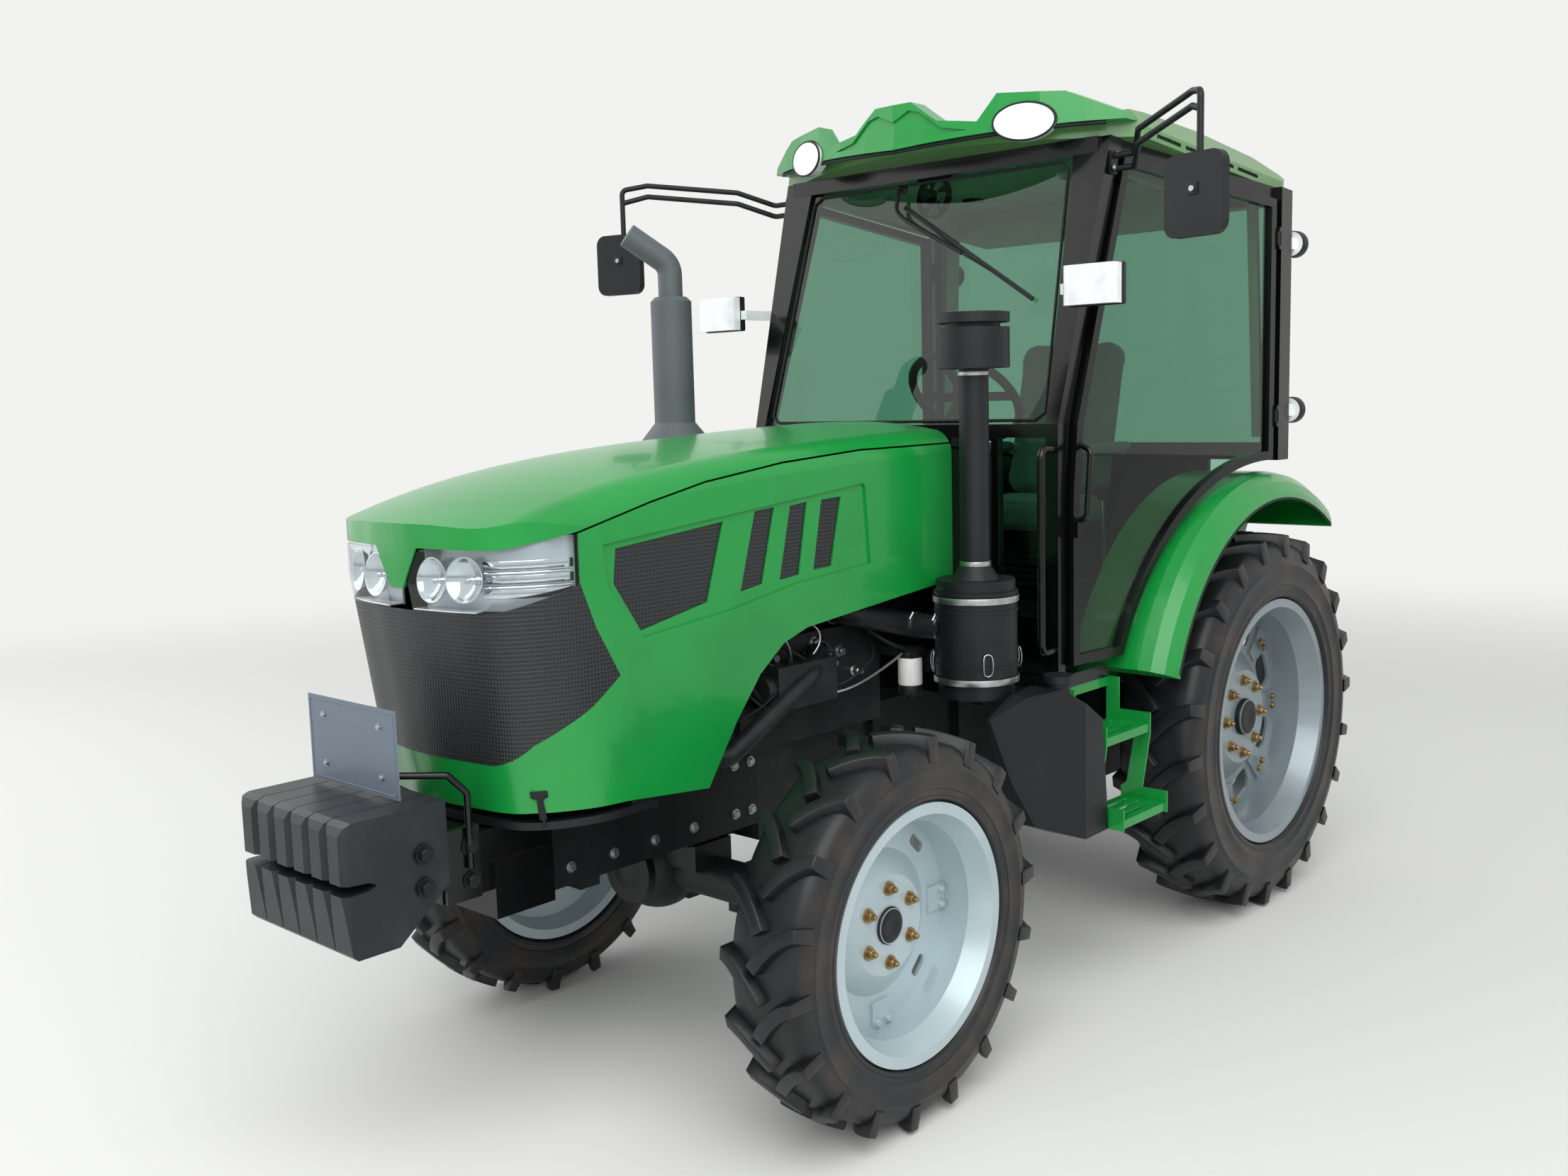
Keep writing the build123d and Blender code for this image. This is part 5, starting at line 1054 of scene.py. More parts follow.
def curved_wall(name: str, path: list[Flat], inset: float, low: float, high: float) -> Piece:
    """Stands a thin wall on a line of the plan.

    Args:
        name: The piece's name.
        path: (x, y) points of the wall's front on the drawing.
        inset: How thick the wall is, measured backwards.
        low: The height of its foot.
        high: The height of its top.

    Returns:
        The piece.
    """
    outline = [at(x, y, low) for x, y in path] + [at(x, y + inset, low) for x, y in reversed(path)]
    return plate(name, outline, Vector((0.0, 0.0, (high - low) * MILLIMETRE)), 0.4)


def cornered(corners: list[Vector], share: float) -> list[Vector]:
    """Doubles a closed outline's points so that a smooth line through them bends only near the corners.

    Args:
        corners: The outline's corners in order.
        share: How much of each side belongs to a bend.

    Returns:
        The line's points.
    """
    return [point for a, b in zip(corners, corners[1:] + corners[:1])
            for point in (a.lerp(b, share), a.lerp(b, 1 - share))]


def rounded(low: Flat, high: Flat, radius: float, steps: int) -> list[Flat]:
    """Draws a rectangle with rounded corners.

    Args:
        low: Its lowest corner.
        high: Its highest corner.
        radius: Its corners' radius.
        steps: How many strips each corner has.

    Returns:
        Its points in order.
    """
    centres = ((high[0] - radius, high[1] - radius), (low[0] + radius, high[1] - radius),
               (low[0] + radius, low[1] + radius), (high[0] - radius, low[1] + radius))
    points = []
    for corner, (u, v) in enumerate(centres):
        for step in range(steps + 1):
            turn = math.radians(90 * corner + 90 / steps * step)
            points.append((u + radius * math.cos(turn), v + radius * math.sin(turn)))
    return points


def roof_place(x: float, y: float, z: float) -> Vector:
    """Turns a place on the level roof to the falling one.

    Args:
        x: Millimetres to the left.
        y: Millimetres behind the windscreen's head.
        z: Millimetres above the roof's underside.

    Returns:
        The place in the frame.
    """
    turn = math.atan(ROOF_FALL)
    return at(x, ROOF_HEAD_Y + y * math.cos(turn) - z * math.sin(turn),
              ROOF_HEAD_Z + y * math.sin(turn) + z * math.cos(turn))


def screen_place(x: float, z: float, out: float) -> Vector:
    """Finds a place on the windscreen.

    Args:
        x: Millimetres to the left.
        z: Its height.
        out: Millimetres in front of the glass.

    Returns:
        The place in the frame.
    """
    return at(x, SCREEN_FOOT_Y + (z - SCREEN_FOOT_Z) * SCREEN_RAKE + SCREEN_INSET - out, z)


@dataclass
class Headlamp(Assembly):
    """What shows through one clear headlamp: a silver case, three steps, two bars and two bowls."""

    side: Side
    wall: tuple[Flat, ...] = ((50, -866), (110, -860), (170, -850), (228, -832), (268, -806),
                                             (300, -768), (322, -724), (340, -671))
    bars: tuple[float, ...] = (1400.0, 1432.0, 1464.0)
    bowls: tuple[tuple[float, float, float, float], ...] = ((112, -866, 1428, -4), (208, -850, 1432, -16))

    def build(self) -> None:
        """Makes the lamp's inside."""
        hand = self.side.value
        name = f"headlamp_{self.side.word}"
        path = [(hand * x, y) for x, y in self.wall]
        housing = curved_wall(f"{name}_housing", [(x, y + 6) for x, y in path], 6, 1360, 1524)
        # The floor ends before the corner, where it would show through the mesh
        floor = plate(f"{name}_floor", [at(x, y + 6, 1364) for x, y in path[:4]]
                      + [at(x * 1.08, y - 34, 1364) for x, y in reversed(path[:4])], Vector((0.0, 0.0, -0.003)))
        self.fit(joined(f"{name}_case", [housing, floor]), Finish.LAMP_SILVER)
        bright = [curved_wall(f"{name}_step_{index}", [(x, y + 2) for x, y in path[3:]], 6, level - 11, level + 9)
                  for index, level in enumerate(self.bars)]
        for index, (x, y, z, turn) in enumerate(self.bowls):
            aim = Vector((-hand * math.sin(math.radians(turn)), -math.cos(math.radians(turn)), 0.12))
            bowl = lathed(f"{name}_bowl_{index}", aim, at(hand * x, y, z),
                          [(2, 0), (3, 12), (8, 28), (18, 43), (24, 49), (24, 52), (8, 42), (0, 22), (0, 0)],
                          48, 0.4)
            bulb = lathed(f"{name}_bulb_{index}", aim, at(hand * x, y, z),
                          [(0, 0), (0, 7), (14, 7), (18, 4), (19, 0)], 24)
            bright += [bowl, bulb]
        for index, level in enumerate(self.bars[1:]):
            bright.append(tube(f"{name}_bar_{index}", [at(x * 1.035, y - 11, level - 16) for x, y in path[3:]],
                               3.4, 3, 4))
        self.fit(joined(f"{name}_reflector", bright), Finish.CHROME)


@dataclass
class NoseTrim(Assembly):
    """The nose's small parts: the rubber latches, the plate's border and bolts, and the weights' nuts."""

    latch: Point = (301.0, -752.0, 874.0)
    plate_front: float = -1046.6

    def build(self) -> None:
        """Makes the trim."""
        self._latches()
        self._plate()
        self._weights()

    def _latches(self) -> None:
        """Makes the rubber pull latches that hold the nose to the shelf."""
        for side in Side:
            hand = side.value
            foot = at(hand * self.latch[0], *self.latch[1:])
            out = Vector((hand * 0.85, -0.53, 0.0))
            along = Vector((hand * 0.53, 0.85, 0.0))
            up = Vector((0.0, -0.15, 1.0))
            outline = [(-9, 4), (9, 4), (7, 52), (20, 58), (20, 72), (-20, 72), (-20, 58), (-7, 52)]
            strap = plate(f"nose_latch_strap_{side.word}",
                          [foot + along * (u * MILLIMETRE) + up * (v * MILLIMETRE) for u, v in outline],
                          out * 0.009, 1.8)
            hook = tube(f"nose_latch_hook_{side.word}",
                        [foot + up * 0.018 + out * 0.002, foot + up * 0.006 + out * 0.013,
                         foot - up * 0.006 + out * 0.014, foot - up * 0.014 + out * 0.006, foot - up * 0.012],
                        3.5, 3, 6)
            self.fit(joined(f"nose_latch_{side.word}", [strap, hook]), Finish.RUBBER)

    def _plate(self) -> None:
        """Puts a raised border and four bolts on the blank plate."""
        edge = [at(x, self.plate_front, z) for x, z in ((-172, 973), (172, 973), (172, 1157), (-172, 1157))]
        self.fit(tube("plate_border", cornered(edge, 0.02), 1.3, 2, 1, True), Finish.PLATE_GREY)
        heads = [hexagon_head(f"plate_bolt_{index}", at(x, -1046.3, z), FORWARD, 13.0, 6.0)
                 for index, (x, z) in enumerate(((-115, 1008), (115, 1008), (-115, 1122), (115, 1122)))]
        self.fit(joined("plate_bolts", heads), Finish.STEEL)

    def _weights(self) -> None:
        """Puts the nuts on the weights' through bolts and the carrier's cheeks."""
        heads = []
        for side in Side:
            for x, y, z in ((220, -1020, 848), (220, -1020, 772), (198, -885, 750), (198, -885, 830)):
                heads.append(hexagon_head("weight_nut", at(side.value * x, y, z), side.out, 34.0, 18.0))
        self.fit(joined("weight_nuts", heads), Finish.CAST_BLACK)


@dataclass
class SeatPad(Assembly):
    """One stuffed pad of the seat, with sewn channels across it and swollen by a short cloth simulation."""

    name: str
    corners: list[Flat]
    low: float
    high: float
    turn: float = 0.0
    pivot: Point = (0.0, 0.0, 0.0)
    frames: int = 20
    voxel: float = 0.006
    pressure: float = 4.0
    cap: float = 0.014
    channels: tuple[float, ...] = ()

    def build(self) -> Piece:
        """Makes the pad.

        Returns:
            The pad.
        """
        pad = plate(self.name, [at(x, y, self.low) for x, y in self.corners],
                    Vector((0.0, 0.0, (self.high - self.low) * MILLIMETRE)), 16.0)
        for place in self.channels:
            self._channel(pad, place)
        if self.turn:
            pad.data.transform(Matrix.Translation(at(*self.pivot))
                               @ Matrix.Rotation(math.radians(self.turn), 4, "X")
                               @ Matrix.Translation(-at(*self.pivot)))
        self._remesh(pad)
        self._swell(pad)
        pick_up(pad)
        smooth = pad.modifiers.new("smooth", "SUBSURF")
        smooth.levels = 1
        bpy.ops.object.modifier_apply(modifier="smooth")
        bpy.ops.object.shade_smooth()
        self.fit(pad, Finish.SEAT)
        return pad

    def _channel(self, pad: Piece, place: float) -> None:
        """Presses a sewn channel across the pad's top.

        Args:
            pad: The pad.
            place: The channel's y on the drawing.
        """
        low = at(-400, place - 5, self.high - 9)
        high = at(400, place + 5, self.high + 20)
        cutter = bar("channel_cutter", low, high, 0)
        pick_up(pad)
        cut = pad.modifiers.new("channel", "BOOLEAN")
        cut.operation = "DIFFERENCE"
        cut.solver = "EXACT"
        cut.object = cutter
        bpy.ops.object.modifier_apply(modifier="channel")
        bpy.data.objects.remove(cutter, do_unlink=True)

    def _remesh(self, pad: Piece) -> None:
        """Gives the pad an even mesh.

        Args:
            pad: The pad.
        """
        pick_up(pad)
        remesh = pad.modifiers.new("even", "REMESH")
        remesh.mode = "VOXEL"
        remesh.voxel_size = self.voxel
        bpy.ops.object.modifier_apply(modifier="even")

    def _swell(self, pad: Piece) -> None:
        """Inflates the pad and limits how far any point has moved.

        Args:
            pad: The pad.
        """
        before = [point.co.copy() for point in pad.data.vertices]
        pick_up(pad)
        cloth = pad.modifiers.new("stuffing", "CLOTH")
        cloth.settings.use_pressure = True
        cloth.settings.uniform_pressure_force = self.pressure
        cloth.settings.effector_weights.gravity = 0.0
        cloth.settings.quality = 4
        cloth.collision_settings.use_collision = False
        cloth.point_cache.frame_start = 1
        cloth.point_cache.frame_end = self.frames
        for frame_number in range(1, self.frames + 1):
            bpy.context.scene.frame_set(frame_number)
        bpy.ops.object.modifier_apply(modifier="stuffing")
        bpy.context.scene.frame_set(1)
        for point, old in zip(pad.data.vertices, before):
            move = point.co - old
            if move.length > self.cap:
                point.co = old + move * (self.cap / move.length)


@dataclass
class DriverSeat(Assembly):
    """The seat: stuffed cushion, back and armrests on a folded bellows and a steel base."""

    half: float = 222.0
    back_lean: float = 13.0
    folds: int = 6
    bellows_foot: float = 1130.0
    bellows_top: float = 1280.0

    def build(self) -> None:
        """Makes the seat in place of its CAD node."""
        half = self.half
        cushion = SeatPad(self.shop, "seat_cushion", rounded((-half, 1492), (half, 1936), 62, 6), 1352, 1430,
                          channels=(1600.0, 1830.0)).build()
        back = SeatPad(self.shop, "seat_back", rounded((-half + 8, 1418), (half - 8, 1994), 66, 6), 1914, 1984,
                       90.0 - self.back_lean, (0.0, 1418.0, 1914.0), channels=(1560.0, 1760.0)).build()
        back.data.transform(Matrix.Translation(at(0, 1940, 1425) - at(0, 1418, 1914)))
        pieces = [cushion, back]
        for side in Side:
            low, high = sorted((side.value * 229, side.value * 271))
            pieces.append(SeatPad(self.shop, f"armrest_{side.word}", rounded((low, 1606), (high, 1980), 18, 6),
                                  1597, 1633, voxel=0.005, cap=0.005).build())
        pieces += [self._base(), self._bellows()]
        for piece in pieces:
            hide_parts("seat")

    def _base(self) -> Piece:
        """Makes the pan, the back's brackets, the slide rails and the plinth.

        Returns:
            The base.
        """
        parts = [bar("seat_pan", at(-190, 1520, 1296), at(190, 1920, 1334), 8.0),
                 bar("seat_plinth", at(-150, 1560, DECK_Z), at(150, 1860, 1132), 6.0)]
        for side in Side:
            low, high = sorted((side.value * 130, side.value * 154))
            parts.append(bar("seat_rail", at(low, 1540, 1278), at(high, 1900, 1296), 2.0))
            low, high = sorted((side.value * 196, side.value * 206))
            parts.append(plate("seat_hinge", [at(low, 1860, 1316), at(low, 1930, 1316), at(low, 1996, 1420),
                                              at(low, 2016, 1520), at(low, 1994, 1526), at(low, 1958, 1420)],
                               Vector(((high - low) * MILLIMETRE, 0.0, 0.0)), 2.0))
            x = side.value * 250
            parts.append(tube("armrest_post", [at(x, 1700, 1600), at(x, 1950, 1596), at(side.value * 225, 2000, 1560),
                                               at(side.value * 214, 2000, 1500)], 9.0, 3, 6))
        return self.fit(joined("seat_base", parts), Finish.BLACK)

    def _bellows(self) -> Piece:
        """Stacks the suspension's rubber folds.

        Returns:
            The bellows.
        """
        rise = (self.bellows_top - self.bellows_foot) / self.folds
        parts = []
        for index in range(self.folds):
            low = self.bellows_foot + index * rise
            parts.append(bar(f"fold_{index}", at(-128, 1588, low), at(128, 1842, low + rise + 1.0), rise * 0.46))
        return self.fit(joined("seat_bellows", parts), Finish.RUBBER)


@dataclass
class CabLining(Assembly):
    """The pale moulded headlining with its rear header, the pillar trims, the speakers and the ceiling fan."""

    def build(self) -> None:
        """Makes the lining."""
        half = [(0, 30), (420, 28), (486, 20), (528, -4), (548, -40), (552, -62)]
        outline = [(-x, z) for x, z in reversed(half[1:])] + half
        inner = [(x * 0.994, z - 5) for x, z in outline]
        points = [roof_place(x, 78, z) for x, z in outline] + [roof_place(x, 78, z) for x, z in reversed(inner)]
        along = roof_place(0, 932, 0) - roof_place(0, 78, 0)
        shell = plate("headlining_shell", points, along, 1.0)
        header = plate("headlining_rear",
                       [roof_place(x, 900, z) for x, z in ((-548, 26), (548, 26), (560, -70), (430, -112),
                                                           (-430, -112), (-560, -70))],
                       roof_place(0, 930, 0) - roof_place(0, 900, 0), 6.0)
        front_strip = plate("headlining_front", [roof_place(x, y, -1.5) for x, y in
                                                 ((-520, 36), (520, 36), (556, 84), (-556, 84))],
                            roof_place(0, 0, -6.0) - roof_place(0, 0, -1.5), 1.5)
        self.fit(joined("headlining", [shell, header, front_strip]), Finish.BEIGE_LINER)
        self._pillars()
        self._speakers()

    def _pillars(self) -> None:
        """Clads the rear pillars' inner sides."""
        for side in Side:
            outline = [at(side.value * x, y, 1640) for x, y in ((676, 2128), (676, 2168), (640, 2168), (640, 2146))]
            trim = plate(f"pillar_trim_{side.word}", outline, Vector((-side.value * 0.03, 0.0, 0.80)), 4.0)
            self.fit(trim, Finish.BEIGE_LINER)

    def _speakers(self) -> None:
        """Sets a dark round speaker grille in each side of the lining, and the ceiling fan by the windscreen."""
        parts = []
        for side in Side:
            place = roof_place(side.value * 322, 674, 25)
            parts.append(lathed(f"speaker_{side.word}", DOWN, place,
                                [(0, 0), (-6, 0), (-6, 44), (4, 44), (6, 40), (6, 34), (2, 32), (2, 26), (4, 24),
                                 (4, 18), (2, 16), (2, 9), (4, 7), (4, 0)], 48))
        mount = roof_place(-110, 120, 30)
        parts.append(lathed("fan_foot", DOWN, mount, [(0, 0), (0, 26), (14, 22), (22, 9), (44, 8), (44, 0)], 32))
        hub = mount + Vector((0.0, 0.0, -0.105))
        aim = Vector((0.15, 1.0, -0.1))
        ahead = aim.normalized()
        across = ahead.orthogonal().normalized()
        round_way = ahead.cross(across)
        parts.append(lathed("fan_motor", aim, hub, [(-30, 0), (-30, 18), (-22, 24), (8, 24), (14, 16), (18, 14),
                                                    (18, 0)], 32, 1.0))
        ring = lathed("fan_ring", aim, hub, [(2, 66), (2, 70), (30, 70), (30, 66)], 48, 0.8, True)
        wire = tube("fan_wire", [hub + ahead * 0.031 + across * reach for reach in (0.012, 0.03, 0.05, 0.068)],
                    1.2, 3, 4)
        wires = ringed("fan_wires", wire, hub, ahead, 18)
        blade = plate("fan_blade", [hub + ahead * 0.012 + across * 0.020,
                                    hub + ahead * 0.004 + across * 0.060 + round_way * 0.010,
                                    hub + ahead * 0.016 + across * 0.050 + round_way * 0.038], ahead * 0.0015, 0.3)
        blades = ringed("fan_blades", blade, hub, ahead, 5)
        self.fit(joined("ceiling_fan", [*parts, ring, wires, blades]), Finish.BLACK_PLASTIC)


@dataclass
class DashDetail(Assembly):
    """What the driver sees and holds: the wheel's cap, the dials, and the levers with knobs and gaiters."""

    wheel: Point = (0.0, 1335.0, 1805.0)

    def build(self) -> None:
        """Makes the details."""
        aim = Vector((0.0, math.sin(math.radians(45)), math.cos(math.radians(45))))
        centre = at(*self.wheel)
        cap = lathed("steering_cap", aim, centre, [(6, 0), (6, 52), (16, 50), (22, 40), (25, 22), (25, 0)], 48, 1.0)
        self.fit(cap, Finish.BLACK_PLASTIC)
        self._dials()
        self._levers()

    def _dials(self) -> None:
        """Sets three dials with numberless ticks in the dash's sloping top."""
        slope = Vector((0.0, 120.0, 120.0)).normalized()
        rings = []
        faces = []
        for x, radius in ((-98, 38), (0, 52), (98, 38)):
            centre = at(x, 1170, 1660)
            rings.append(lathed("dial_ring", slope, centre,
                                [(0, radius), (0, radius + 6), (7, radius + 5), (9, radius + 2), (8, radius),
                                 (3, radius - 1)], 48, 0.4, True))
            faces.append(lathed("dial_face", slope, centre, [(0, 0), (0, radius), (2.4, radius), (2.4, 0)], 48))
            tick = bar("dial_tick", centre + Vector((-0.0008, -0.0005, 0.0)) + slope * 0.0024,
                       centre + Vector((0.0008, 0.0005, 0.001)) + slope * 0.0034, 0)
            tick.data.transform(Matrix.Translation(slope.cross(LEFT) * (radius * 0.82 * MILLIMETRE)))
            rings.append(ringed("dial_ticks", tick, centre, slope, 20))
        self.fit(joined("dial_rings", rings), Finish.STEEL)
        self.fit(joined("dial_faces", faces), Finish.BLACK_PLASTIC)

    def _levers(self) -> None:
        """Stands three levers with round knobs and folded gaiters beside the seat."""
        rods = []
        knobs = []
        for x, y, lean in ((300, 1560, 20), (355, 1640, 10), (-300, 1600, 15)):
            foot = at(x, y, DECK_Z)
            top = at(x - (8 if x > 0 else -8), y - lean, 1460)
            rods.append(tube("lever_rod", [foot, foot.lerp(top, 0.4) + Vector((0.0, 0.02, 0.0)), top], 6.5, 3, 6))
            knobs.append(lathed("lever_knob", UP, top, [(-14, 0), (-14, 10), (-4, 17), (10, 21), (24, 18),
                                                        (32, 9), (33, 0)], 32, 0.5))
            knobs.append(lathed("lever_gaiter", UP, foot,
                                [(0, 0), (0, 52), (10, 50), (14, 42), (24, 43), (28, 34), (40, 35), (44, 26), (58, 26),
                                 (64, 12), (76, 9), (76, 0)], 40, 1.2))
        self.fit(joined("lever_rods", rods), Finish.STEEL)
        self.fit(joined("lever_knobs", knobs), Finish.RUBBER)


@dataclass
class RoofLamps(Assembly):
    """The rings round the roof lamps and the work lamps, and the marker lamps' dark shells."""

    lamp: Point = (430.0, 1044.0, 2612.0)
    turn: float = 21.0

    def build(self) -> None:
        """Makes the lamps' surrounds."""
        rings = []
        shells = []
        for side in Side:
            hand = side.value
            centre = at(hand * self.lamp[0], *self.lamp[1:])
            turn = math.radians(hand * self.turn)
            out = Vector((math.sin(turn), -math.cos(turn), 0.0))
            across = Vector((math.cos(turn), math.sin(turn), 0.0))
            points = [centre + out * 0.004 + across * (0.0955 * math.cos(a)) + Vector((0.0, 0.0, 0.0555 * math.sin(a)))
                      for a in (math.tau * step / 16 for step in range(16))]
            rings.append(tube("roof_lamp_ring", points, 3.6, 4, 6, True))
            low, high = sorted((hand * 650, hand * 824))
            shells.append(bar("marker_shell", at(low, 926, 2052), at(high, 953, 2169), 5.0))
            for level in (1730.0, 2300.0):
                rings.append(lathed("work_lamp_ring", Vector((0.0, 1.0, 0.0)), at(hand * 725, 2290, level),
                                    [(-38, 42.3), (-38, 45), (2, 46), (4, 43), (2, 39), (0.4, 39), (0.4, 42.3)],
                                    40, 0.5, True))
        self.fit(joined("lamp_rings", rings), Finish.BLACK_PLASTIC)
        self.fit(joined("marker_shells", shells), Finish.BLACK_PLASTIC)


@dataclass
class RoofTrim(Assembly):
    """The visor's dark lip, the louvres in the roof's vents, the aerial and the wiper."""

    bow_y: float = 961.0
    bow_depth: float = 207.0
    bow_half: float = 680.0
    lip_z: float = 2556.0
    peak_x: float = 550.0

    def build(self) -> None:
        """Makes the trim."""
        self._underside()
        self._vents()
        self._aerial()
        self._wiper()

    def _underside(self) -> None:
        """Edges the visor's underside with a dark lip, which follows its bowed front and rises to its outer peaks."""
        under = []
        for x in range(-640, 641, 80):
            level = self.lip_z + (17.0 + min(abs(x), self.peak_x) / self.peak_x * 22.0)
            under.append(at(x, self.bow_y + self.bow_depth * (x / self.bow_half) ** 2 + 12, level - 1.5))
        self.fit(tube("visor_lip", under, 6.0, 3, 6), Finish.BLACK_PLASTIC)

    def _vents(self) -> None:
        """Fills the roof's side vents with slanting dark blades."""
        blades = []
        for side in Side:
            hand = side.value
            for start in (160, 340, 520, 700):
                for index in range(10):
                    y = start + 7 + index * 15
                    corner = [roof_place(hand * 699, y, 12.3), roof_place(hand * 699, y + 9, 23.7),
                              roof_place(hand * 704.6, y + 10.5, 23.7), roof_place(hand * 704.6, y + 1.5, 12.3)]
                    blades.append(plate("vent_blade", corner, Vector((0.0, 0.0015, 0.0)), 0))
        self.fit(joined("roof_vents", blades), Finish.BLACK_PLASTIC)

    def _aerial(self) -> None:
        """Stands the short aerial behind the visor."""
        foot = roof_place(505, 60, 78)
        parts = [lathed("aerial_foot", UP, foot, [(-3, 0), (-3, 17), (5, 15), (12, 8), (22, 5), (22, 0)], 32, 0.6),
                 lathed("aerial_whip", Vector((0.0, 0.12, 1.0)), foot,
                        [(18, 0), (18, 3.2), (34, 1.8), (56, 1.2), (58, 2.0), (61, 1.6), (62, 0)], 16)]
        self.fit(joined("aerial", parts), Finish.STEEL)

    def _wiper(self) -> None:
        """Hangs the wiper's arm and blade from the screen's head."""
        pivot = screen_place(-122, 2486, 0)
        away = Vector((0.0, -1.0, SCREEN_RAKE)).normalized()
        parts = [lathed("wiper_spindle", away, pivot,
                        [(0, 0), (0, 15), (6, 14), (10, 9), (30, 8), (32, 6), (32, 0)], 32, 0.6)]
        elbow = screen_place(-112, 2402, 34)
        joint = screen_place(168, 2254, 20)
        parts.append(tube("wiper_arm", [pivot + away * 0.026, pivot.lerp(elbow, 0.5) + away * 0.014, elbow,
                                        elbow.lerp(joint, 0.5) + away * 0.004, joint], 7.0, 3, 8))
        top = screen_place(-96, 2424, 9)
        end = screen_place(452, 2092, 9)
        along = (end - top).normalized()
        wide = along.cross(away).normalized()
        parts.append(plate("wiper_carrier", [top + wide * 0.007, top - wide * 0.007, end - wide * 0.007,
                                             end + wide * 0.007], away * 0.007, 1.2))
        parts.append(plate("wiper_rubber", [top - away * 0.0065 + wide * 0.0014, top - away * 0.0065 - wide * 0.0014,
                                            end - away * 0.0065 - wide * 0.0014, end - away * 0.0065 + wide * 0.0014],
                           away * 0.0067, 0))
        for share in (0.18, 0.82):
            place = top.lerp(end, share)
            parts.append(tube("wiper_claw", [joint + away * 0.002, joint.lerp(place, 0.5) + away * 0.006,
                                             place + away * 0.005], 3.0, 3, 5))
        self.fit(joined("wiper", parts), Finish.BLACK_PLASTIC)


@dataclass
class MirrorFittings(Assembly):
    """Each mirror's silvered glass, its clamp with a bolt, and the arm's bracket bolts."""

    head: Point = (1110.0, 795.0, 2305.0)
    turn: float = 12.0

    def build(self) -> None:
        """Makes the fittings of both mirrors."""
        glasses = []
        bolts = []
        clamps = []
        for side in Side:
            hand = side.value
            centre = at(hand * self.head[0], *self.head[1:])
            turn = math.radians(-hand * self.turn)
            across = Vector((math.cos(turn), math.sin(turn), 0.0))
            back = Vector((-math.sin(turn), math.cos(turn), 0.0))
            outline = [centre + back * 0.0132 + across * (u * MILLIMETRE) + Vector((0.0, 0.0, v * MILLIMETRE))
                       for u, v in rounded((-84, -96), (84, 96), 26, 4)]
            glasses.append(plate("mirror_glass", outline, back * 0.0012, 0.3))
            front = centre - back * 0.0128
            bolts.append(hexagon_head("mirror_bolt", front + Vector((0.0, 0.0, 0.014)), -back, 17.0, 9.0))
            clamp = [front + across * 0.016 + Vector((0.0, 0.0, z * MILLIMETRE)) for z in (-2, 30)]
            clamp += [front - across * 0.016 + Vector((0.0, 0.0, z * MILLIMETRE)) for z in (30, -2)]
            clamps.append(plate("mirror_clamp", clamp, -back * 0.003, 1.0))
            for y, level in ((1181, 2464), (1199, 2504)):
                bolts.append(hexagon_head("arm_bolt", at(hand * 652, y, level), side.out, 13.0, 7.0))
        self.fit(joined("mirror_glasses", glasses), Finish.MIRROR)
        self.fit(joined("mirror_clamps", clamps), Finish.BLACK_PLASTIC)
        self.fit(joined("mirror_bolts", bolts), Finish.STEEL)


